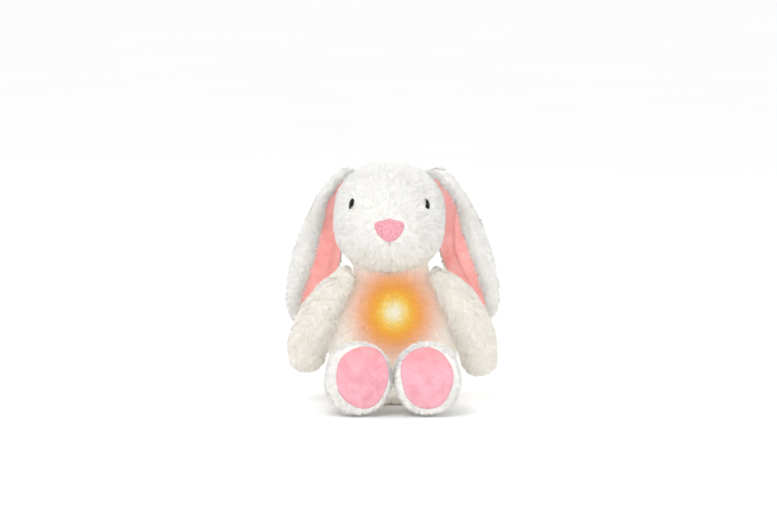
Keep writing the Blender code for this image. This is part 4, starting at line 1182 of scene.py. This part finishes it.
def make_ear(side, name):
    rows = 100
    across = 36
    inner, outer = ear_edges(side, rows)
    along = np.linspace(0, 1, rows)[:, None]
    taper = np.clip(np.sin(math.pi * np.clip(along, 0.02, 0.985)) ** 0.35, 0.25, 1)
    low, high = lining_edges(along)
    share = 0.5 - 0.5 * np.cos(np.linspace(0, math.pi, across))[None, :] + 0 * along
    edge = np.sqrt(np.clip(1 - np.abs(2 * share - 1) ** 5, 0, 1))
    roll = np.sin(math.pi * np.clip((share - high) / (1 - high), 0, 1)) ** 0.7
    covered = (share > low - 0.012) & (share < high - 0.012)
    front = ear_place(side, inner, outer, share, -(EAR_HALF_THICK * edge + 0.0040 * roll) * taper)
    back = ear_place(side, inner, outer, share, (EAR_HALF_THICK * edge + 0.0012 * edge) * taper)
    rings = np.concatenate([front, back[:, -2:0:-1]], axis=1)
    skin = Shape(*ring_grid(rings))
    dense = np.ones(rings.shape[:2])
    dense[:, :across] = np.where(covered, 0.0, 1.0)
    dense = np.concatenate([dense.ravel(), [1.0, 1.0]])
    cover("ear_%s_plush" % name, skin, BACKING, "ear_" + name, "white_plush", 0.3, "ear_%s_outer" % name)

    first, last = 8, rows - 5
    low, high = lining_edges(along[first:last])
    spread = np.linspace(0, 1, 60)[None, :]
    share = low + (high - low) * spread
    lift = -EAR_HALF_THICK * taper[first:last] - 0.0008
    grid = ear_place(side, inner[first:last], outer[first:last], share, lift)
    depth = lining_folds(side, grid[..., 0] * side, grid[..., 2])
    rim = np.clip(np.minimum(spread, 1 - spread) / 0.10, 0, 1) * np.clip((high - low) / 0.15, 0, 1)
    grid[..., 1] -= np.maximum(depth, -0.0006) * rim + 0.0006 * np.sqrt(rim)
    sheet = Shape.__new__(Shape)
    sheet.points, sheet.quads, sheet.triangles = sheet_grid(grid)
    if sheet.normals()[:, 1].mean() > 0:
        sheet.quads = sheet.quads[:, ::-1]
    made = piece("ear_%s_satin" % name, sheet, SATIN, "ear_" + name)
    thick = made.modifiers.new("cloth", "SOLIDIFY")
    thick.thickness = 0.0005
    thick.offset = -1
    a, b, c = (sheet.points[sheet.split()[:, k]] for k in range(3))
    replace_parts(made, "ear_%s_lining" % name)

    stitches = []
    for column in (1, 58):
        line = smooth_line(grid[2:-2, column] - (0, 0.0003, 0), 96)
        for k in range(0, 94, 2):
            stitches.append(capsule(line[k], line[k + 1], 0.00022, 6, bow=(0, -0.00018, 0)))
    sewn("ear_%s_stitches" % name, stitches, "ear_" + name)

    flat_inner, flat_outer = ear_edges(side, 200)

    def lay(root, normal):
        order = np.argsort(flat_inner[:, 1])
        near = np.interp(root[:, 2], flat_inner[order, 1], flat_inner[order, 0])
        order = np.argsort(flat_outer[:, 1])
        far = np.interp(root[:, 2], flat_outer[order, 1], flat_outer[order, 0])
        across_ear = np.clip((root[:, 0] * side - near) / np.maximum(far - near, 0.004), 0, 1)
        lean_out = np.where((across_ear < 0.80) & (normal[:, 1] < 0), -0.75, 0.45)
        return np.stack([lean_out * side, 0 * lean_out, -np.ones(len(root))], axis=1)

    fur("ear_%s_fur" % name, "ear_" + name, skin, 32000, lay, WHITE_SHADES, white_tint, dense, PILE * 0.85)


# ---------------------------------------------------------------- tail and back flap
def make_tail():
    low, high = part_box("tail_pompom")
    middle = (np.array(low) + np.array(high)) / 2
    half = (np.array(high) - np.array(low)) / 2 - SKIN_DEPTH
    rings = []
    for k in range(1, 32):
        polar = math.pi * k / 32
        turn = turns(48)
        ring = places(np.sin(polar) * np.cos(turn), math.cos(polar), np.sin(polar) * np.sin(turn))
        rings.append(middle + ring * half)
    skin = Shape(*ring_grid(rings))
    skin = skin.moved(0.0008 * wobble(skin.points, 0.012, 80))
    cover("tail_ball", skin, BACKING, "root", "white_plush", 0.8, "tail_pompom")
    fur("tail_fur", "root", skin, 9000, combed(0, 0.5, -1), WHITE_SHADES, white_tint, None, PILE * 1.1,
        spread=0.7, lean=44.0)


def back_sheet(half_width, low, high, out, rows, columns):
    """A grid of points over the back between two heights, out from the torso's surface."""
    heights = np.array([row[0] for row in TORSO_PROFILE])
    grid = np.zeros((rows, columns, 3))
    for r, height in enumerate(np.linspace(low, high, rows)):
        wide = np.interp(height, heights, [row[1] for row in TORSO_PROFILE])
        deep = np.interp(height, heights, [row[2] for row in TORSO_PROFILE])
        x = np.linspace(-half_width, half_width, columns)
        y = TORSO_Y + deep * (1 - np.abs(x / wide) ** 2.3) ** (1 / 2.3) + out
        grid[r] = places(x, y, height)
    return grid


def make_flap():
    """The flap over the pocket: a plush face on a bound, turned-in edge."""
    low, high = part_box("back_flap")
    near = back_sheet(high[0] - 0.0006, low[2] + 0.0006, high[2] - 0.0006, 0.0036, 60, 60)
    far = near.copy()
    rows = np.linspace(-1, 1, 60)
    edge = np.minimum(1 - np.abs(rows)[:, None] ** 10, 1 - np.abs(rows)[None, :] ** 10)
    far[..., 1] += 0.0004 + 0.0014 * np.sqrt(np.clip(edge, 0, 1))
    inner_points, inner_quads, _ = sheet_grid(near)
    outer_points, outer_quads, _ = sheet_grid(far)
    size = 60
    count = size * size
    ring = np.concatenate([np.arange(size), np.arange(1, size) * size + size - 1,
                           count - 1 - np.arange(1, size), size * np.arange(size - 2, 0, -1)])
    after = np.roll(ring, -1)
    walls = np.stack([ring, after, after + count, ring + count], axis=1)
    quads = np.concatenate([inner_quads[:, ::-1], outer_quads + count, walls])
    shape = Shape(np.concatenate([inner_points, outer_points]), quads, np.zeros((0, 3), int))
    cover("flap_plush", shape, BACKING, "back_flap", "white_plush", 0.2, "back_flap")

    def keep(spots, normal):
        return np.where(normal[:, 1] > 0.2, 1.0, 0.0)

    fur("flap_fur", "back_flap", shape, 11000, combed(0, 0, -1), WHITE_SHADES, white_tint, keep,
        PILE * 0.8)


# ---------------------------------------------------------------- neck
COLLAR = [               # share of the way up, half width, half depth, height at the sides, front and back
    (0.0, 0.0440, 0.0365, 0.1400, 0.1400, 0.1400),
    (0.2, 0.0436, 0.0362, 0.1475, 0.1450, 0.1475),
    (0.4, 0.0438, 0.0366, 0.1535, 0.1485, 0.1550),
    (0.6, 0.0446, 0.0374, 0.1585, 0.1510, 0.1620),
    (0.8, 0.0456, 0.0384, 0.1630, 0.1528, 0.1680),
    (1.0, 0.0462, 0.0392, 0.1662, 0.1545, 0.1725),
]


def collar_rings(first, last, inset):
    """Rings of the plush that bridges the torso and the head, between two shares of the way up."""
    rows = np.array(COLLAR)
    turn = turns(120)
    side = np.abs(np.cos(turn)) ** 1.5
    front = np.sin(turn) < 0
    rings = []
    for share in np.linspace(first, last, 14):
        wide, deep, at_side, at_front, at_back = (np.interp(share, rows[:, 0], row) for row in rows.T[1:])
        low = np.where(front, at_front, at_back)
        height = low + (at_side - low) * side
        far = reach(np.cos(turn), np.sin(turn), wide - inset, deep - inset, 2.2)
        x = HEAD_CENTRE[0] * share + far * np.cos(turn)
        rings.append(places(x, TORSO_Y - 0.002 * share + far * np.sin(turn), height))
    return rings


def band(outer, inner, middle):
    """A closed sleeve of cloth from its outer and inner rings."""
    shape = Shape(*ring_grid(outer + inner[::-1], False, False))
    count = len(outer[0])
    loop = np.arange(count)
    after = np.roll(loop, -1)
    base = count * (len(outer) * 2 - 1)
    shape.quads = np.concatenate([shape.quads, np.stack([loop, base + loop, base + after, after], axis=1)])
    if (shape.normals() * (shape.points - middle)).sum(1)[:count * (len(outer) - 3)].mean() < 0:
        shape.quads = shape.quads[:, ::-1]
    return shape


HIP_HEIGHT = 0.0430
HIP = [                  # y, half width and half height of the plush that joins a leg to the torso
    (-0.0500, 0.0225, 0.0225),
    (-0.0580, 0.0228, 0.0230),
    (-0.0640, 0.0236, 0.0240),
    (-0.0700, 0.0252, 0.0262),
    (-0.0760, 0.0276, 0.0288),
]


def make_hip(side, name):
    """The plush sleeve between a leg and the torso."""
    turn = turns(84)
    layers = []
    for inset in (0.0, 0.0010):
        rings = []
        for depth, wide, tall in smooth_line(HIP, 16):
            x, z = oval(turn, wide - inset, tall - inset, PAD_POWER)
            rings.append(places(side * LEG_X + x, depth, HIP_HEIGHT + z))
        layers.append(rings)
    middle = np.array([side * LEG_X, -0.063, HIP_HEIGHT])
    shape = band(layers[0], layers[1], middle)
    made = cover("hip_" + name, shape, BACKING, None, "white_plush", 0.4)
    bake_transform(made)

    def keep(at, normal):
        away = (at - middle) * (1, 0, 1)
        return np.where((normal * away).sum(1) > 0, 1.0, 0.0)

    lay = combed(0, -1, -0.4)
    for strands in fur("hip_%s_fur" % name, None, shape, 8000, lay, WHITE_SHADES, white_tint, keep):
        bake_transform(strands)


def make_collar():
    """Two bands of plush round the neck, a lower and an upper."""
    parts = (("lower", 0.0, 0.55, "root", "neck", 0.1420, 0.1530),
             ("upper", 0.5, 1.0, "neck", "head", 0.1530, 0.1640))

    def outward(at, normal):
        away = (at - (HEAD_CENTRE[0] * 0.5, TORSO_Y, 0)) * (1, 1, 0)
        return np.where((normal * away).sum(1) > 0, 1.0, 0.0)

    for name, first, last, below, above, start, end in parts:
        shape = band(collar_rings(first, last, 0.0022), collar_rings(first, last, 0.0036), (0, TORSO_Y, 0))
        made = cover("collar_" + name, shape, BELLY_BACKING, None, "white_plush", 0.3)
        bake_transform(made)
        lay = combed(0, 0, 1 if name == "upper" else -1)
        for strands in fur("collar_%s_fur" % name, None, shape, 11000, lay, CREAM_GLOW_SHADES + GLOW_SHADES,
                           belly_tint, outward, PILE * 0.9):
            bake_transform(strands)


# ---------------------------------------------------------------- filling
FILLINGS = [             # CAD node, body, size of its lumps, depth of its dents, fill
    ("head_stuffing", "head", 0.014, 0.0013, 0.8),
    ("neck_stuffing", "neck", 0.007, 0.0006, 0.7),
    ("arm_left_stuffing", "arm_left", 0.010, 0.0010, 0.8),
    ("arm_right_stuffing", "arm_right", 0.010, 0.0010, 0.8),
    ("leg_left_stuffing", "leg_left", 0.011, 0.0011, 0.8),
    ("leg_right_stuffing", "leg_right", 0.011, 0.0011, 0.8),
    ("torso_stuffing", "root", 0.014, 0.0013, 0.8),
    ("seat_bean_bag", "root", 0.006, 0.0008, 0.5),
    ("pocket_pad", "root", 0.009, 0.0005, 0.9),
]


def make_fillings():
    """Wads of fibre in the spaces that the CAD solids hold, their skins dented inwards by lumps."""
    graph = bpy.context.evaluated_depsgraph_get
    for order, (node, body, lump, dent, fill) in enumerate(FILLINGS):
        source = frame["nodes"][node]
        rough = bpy.data.objects.new(node + "_rough", source.data.copy())
        rough.data.transform(source.matrix_world)
        bpy.context.collection.objects.link(rough)
        remesh = rough.modifiers.new("even", "REMESH")
        remesh.mode = "VOXEL"
        remesh.voxel_size = 0.0022 if node in ("neck_stuffing", "pocket_pad") else 0.0030
        even = bpy.data.meshes.new_from_object(rough.evaluated_get(graph()))
        bpy.data.objects.remove(rough)
        points = np.array([v.co for v in even.vertices])
        normals = np.array([v.normal for v in even.vertices])
        lumps = 0.5 + 0.5 * np.tanh(1.6 * wobble(points, lump, 90 + order))
        fibres = 0.5 + 0.5 * np.tanh(wobble(points, lump * 0.35, 120 + order))
        points -= normals * (0.0003 + dent * lumps + 0.35 * dent * fibres)[:, None]
        even.vertices.foreach_set("co", points.ravel())
        even.shade_smooth()
        even.materials.clear()
        even.materials.append(BEAN_CLOTH if node == "seat_bean_bag" else WADDING)
        made = bpy.data.objects.new(node + "_wad", even)
        bpy.context.collection.objects.link(made)
        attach(made, body)
        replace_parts(made, node)


# ---------------------------------------------------------------- hard parts carried over
BEAN_CLOTH = woven("bean_bag_weave", (0.70, 0.66, 0.58), (0.86, 0.83, 0.76), 0.0009, 0.00015, 0.85, 0.2)


def circuit_finish():
    """Green mask with a grid of copper lines under it."""
    made = Finish("circuit_mask")
    tracks = made.add("TexBrick", Scale=260.0, Mortar_Size=0.06, Color1=(0.020, 0.200, 0.075, 1),
                      Color2=(0.026, 0.240, 0.095, 1), Mortar=(0.090, 0.330, 0.140, 1),
                      Vector=made.stretched(Rotation=(math.pi / 2, 0, 0)))
    made.bump(tracks.outputs["Fac"], 0.4, 0.00005)
    return made.shade(Base_Color=tracks.outputs["Color"], Roughness=0.35)


def brushed_finish(name, low, high):
    """Plated steel with fine turned scratches."""
    made = Finish(name)
    scratch = made.noise(2400.0, 3.0, made.stretched(Scale=(1.0, 0.06, 1.0)))
    made.bump(scratch, 0.3, 0.00003)
    return made.shade(Base_Color=made.ramp(scratch, (0.35, low), (0.65, high)), Metallic=1.0,
                      Roughness=made.math("MULTIPLY_ADD", scratch, 0.22, 0.20))


def sleeve_finish():
    """A printed cell sleeve in two plain bands, without text."""
    made = Finish("cell_sleeve_print")
    grain = made.noise(500.0, 2.0)
    band = made.math("MULTIPLY_ADD", grain, 0.0006, made.split()["X"])
    share = made.math("MULTIPLY_ADD", band, 20.0, 0.5)
    bands = made.ramp(share, (0.0, (0.09, 0.14, 0.30)), (0.62, (0.11, 0.17, 0.36)),
                      (0.66, (0.62, 0.40, 0.10)), (1.0, (0.70, 0.46, 0.14)))
    made.bump(grain, 0.2, 0.00003)
    return made.shade(Base_Color=bands, Roughness=0.28, Coat_Weight=0.4)


HARD_FINISHES = {
    "washer_plastic": mottled("washer_nylon", (0.78, 0.78, 0.77), (0.88, 0.88, 0.87),
                              120.0, 0.50, 700.0, 0.00004),
    "case_plastic": mottled("case_moulding", (0.83, 0.83, 0.81), (0.91, 0.91, 0.89),
                            90.0, 0.45, 1500.0, 0.00005),
    "lamp_diffuser": mottled("lamp_frost", (0.95, 0.68, 0.26), (1.00, 0.84, 0.46), 140.0, 0.38, 1300.0,
                             0.00004, Transmission_Weight=0.25, Emission_Color=(1.0, 0.70, 0.25, 1),
                             Emission_Strength=0.8),
    "led_epoxy": mottled("led_resin", (1.00, 0.56, 0.10), (1.00, 0.76, 0.30), 600.0, 0.12, 2000.0, 0.00001,
                         Transmission_Weight=0.5, Emission_Color=(1.0, 0.62, 0.20, 1),
                         Emission_Strength=2.5),
    "circuit_board": circuit_finish(),
    "cone_paper": mottled("cone_fibre", (0.030, 0.030, 0.030), (0.075, 0.072, 0.068),
                          420.0, 0.80, 1600.0, 0.00012),
    "steel": brushed_finish("plated_steel", (0.52, 0.52, 0.54), (0.72, 0.72, 0.74)),
    "cell_sleeve": sleeve_finish(),
    "button_plastic": mottled("button_moulding", (0.84, 0.28, 0.28), (0.93, 0.38, 0.37),
                              150.0, 0.40, 1400.0, 0.00004),
    "switch_black": mottled("switch_moulding", (0.020, 0.020, 0.021), (0.042, 0.041, 0.040),
                            200.0, 0.45, 1500.0, 0.00004),
    "wire_red": mottled("wire_sleeve", (0.55, 0.03, 0.03), (0.78, 0.07, 0.06), 500.0, 0.40, 1200.0,
                        0.00003),
    "hook_tape": mottled("hook_and_loop", (0.74, 0.74, 0.73), (0.93, 0.93, 0.92),
                         900.0, 0.80, 2200.0, 0.00035, 0.2),
}


def make_button_spring():
    """The coil under the play button."""
    low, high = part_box("button_spring")
    middle_x, middle_z = (low[0] + high[0]) / 2, (low[2] + high[2]) / 2
    wire = 0.00024
    radius = (high[0] - low[0]) / 2 - wire
    line = []
    for k in range(4 * 24 + 1):
        turn = 2 * math.pi * k / 24
        y = low[1] + wire + (high[1] - low[1] - 2 * wire) * k / (4 * 24)
        line.append(np.array([middle_x + radius * math.cos(turn), y, middle_z + radius * math.sin(turn)]))
    made = piece("button_spring_coil", tube_along(line, wire, 8), HARD_FINISHES["steel"], "root")
    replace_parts(made, "button_spring")
    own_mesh(made)


def finish_hard_parts():
    for part in frame["record"]["subparts"]:
        finish = HARD_FINISHES.get(part["material_slot"])
        if finish is None:
            continue
        mesh = frame["nodes"][part["node"]].data
        mesh.materials.clear()
        mesh.materials.append(finish)


# ---------------------------------------------------------------- build
make_head()
make_nose()
make_mouth()
make_eyes()
make_torso()
for side, name in ((-1, "right"), (1, "left")):
    make_arm(side, name)
    make_leg(side, name)
make_ear(-1, "right")
make_ear(1, "left")
make_tail()
make_flap()
make_collar()
make_hip(-1, "right")
make_hip(1, "left")
make_fillings()
make_button_spring()
finish_hard_parts()


# ---------------------------------------------------------------- floor, light and camera
def make_stage():
    pale = Finish("pale_floor")
    tone = pale.ramp(pale.noise(3.0, 2.0), (0.3, (0.965, 0.965, 0.965)), (0.7, (0.98, 0.98, 0.98)))
    mesh = bpy.data.meshes.new("floor")
    size = 60.0
    below = -0.0002
    corners = [(-size, -size, below), (size, -size, below), (size, size, below), (-size, size, below)]
    mesh.from_pydata(corners, [], [(0, 1, 2, 3)])
    mesh.materials.append(pale.shade(Base_Color=tone, Roughness=0.95, Specular_IOR_Level=0.1))
    floor = bpy.data.objects.new("floor", mesh)
    bpy.context.collection.objects.link(floor)
    world = bpy.data.worlds.new("studio")
    world.use_nodes = True
    sky = world.node_tree.nodes["Background"]
    sky.inputs["Color"].default_value = (1.0, 1.0, 1.0, 1)
    sky.inputs["Strength"].default_value = 1.0
    bpy.context.scene.world = world


def area_light(name, place, target, size, power):
    lamp = bpy.data.lights.new(name, "AREA")
    lamp.shape = "DISK"
    lamp.size = size
    lamp.energy = power
    made = bpy.data.objects.new(name, lamp)
    made.location = place
    made.rotation_euler = (Vector(target) - Vector(place)).to_track_quat("-Z", "Y").to_euler()
    bpy.context.collection.objects.link(made)


def make_camera():
    elevation = math.radians(8)
    target = Vector((-0.005, 0.0, 0.1667))
    distance = 6.0
    view_width = 0.9215
    place = target + Vector((0, -math.cos(elevation), math.sin(elevation))) * distance
    lens = bpy.data.cameras.new("camera")
    lens.sensor_width = 36.0
    lens.lens = lens.sensor_width * distance / view_width
    made = bpy.data.objects.new("camera", lens)
    made.location = place
    made.rotation_euler = (target - place).to_track_quat("-Z", "Y").to_euler()
    bpy.context.collection.objects.link(made)
    bpy.context.scene.camera = made
    bpy.context.scene.view_settings.view_transform = "Standard"


make_stage()
area_light("key", (-0.5, -1.1, 1.6), (0, 0, 0.14), 1.0, 9)
area_light("fill", (0.9, -1.6, 0.2), (0, 0, 0.10), 1.2, 5)
area_light("low", (-0.9, -1.6, 0.15), (0, 0, 0.08), 1.2, 3)
area_light("behind", (0.4, 1.7, 1.0), (0, 0, 0.14), 1.2, 12)
make_camera()
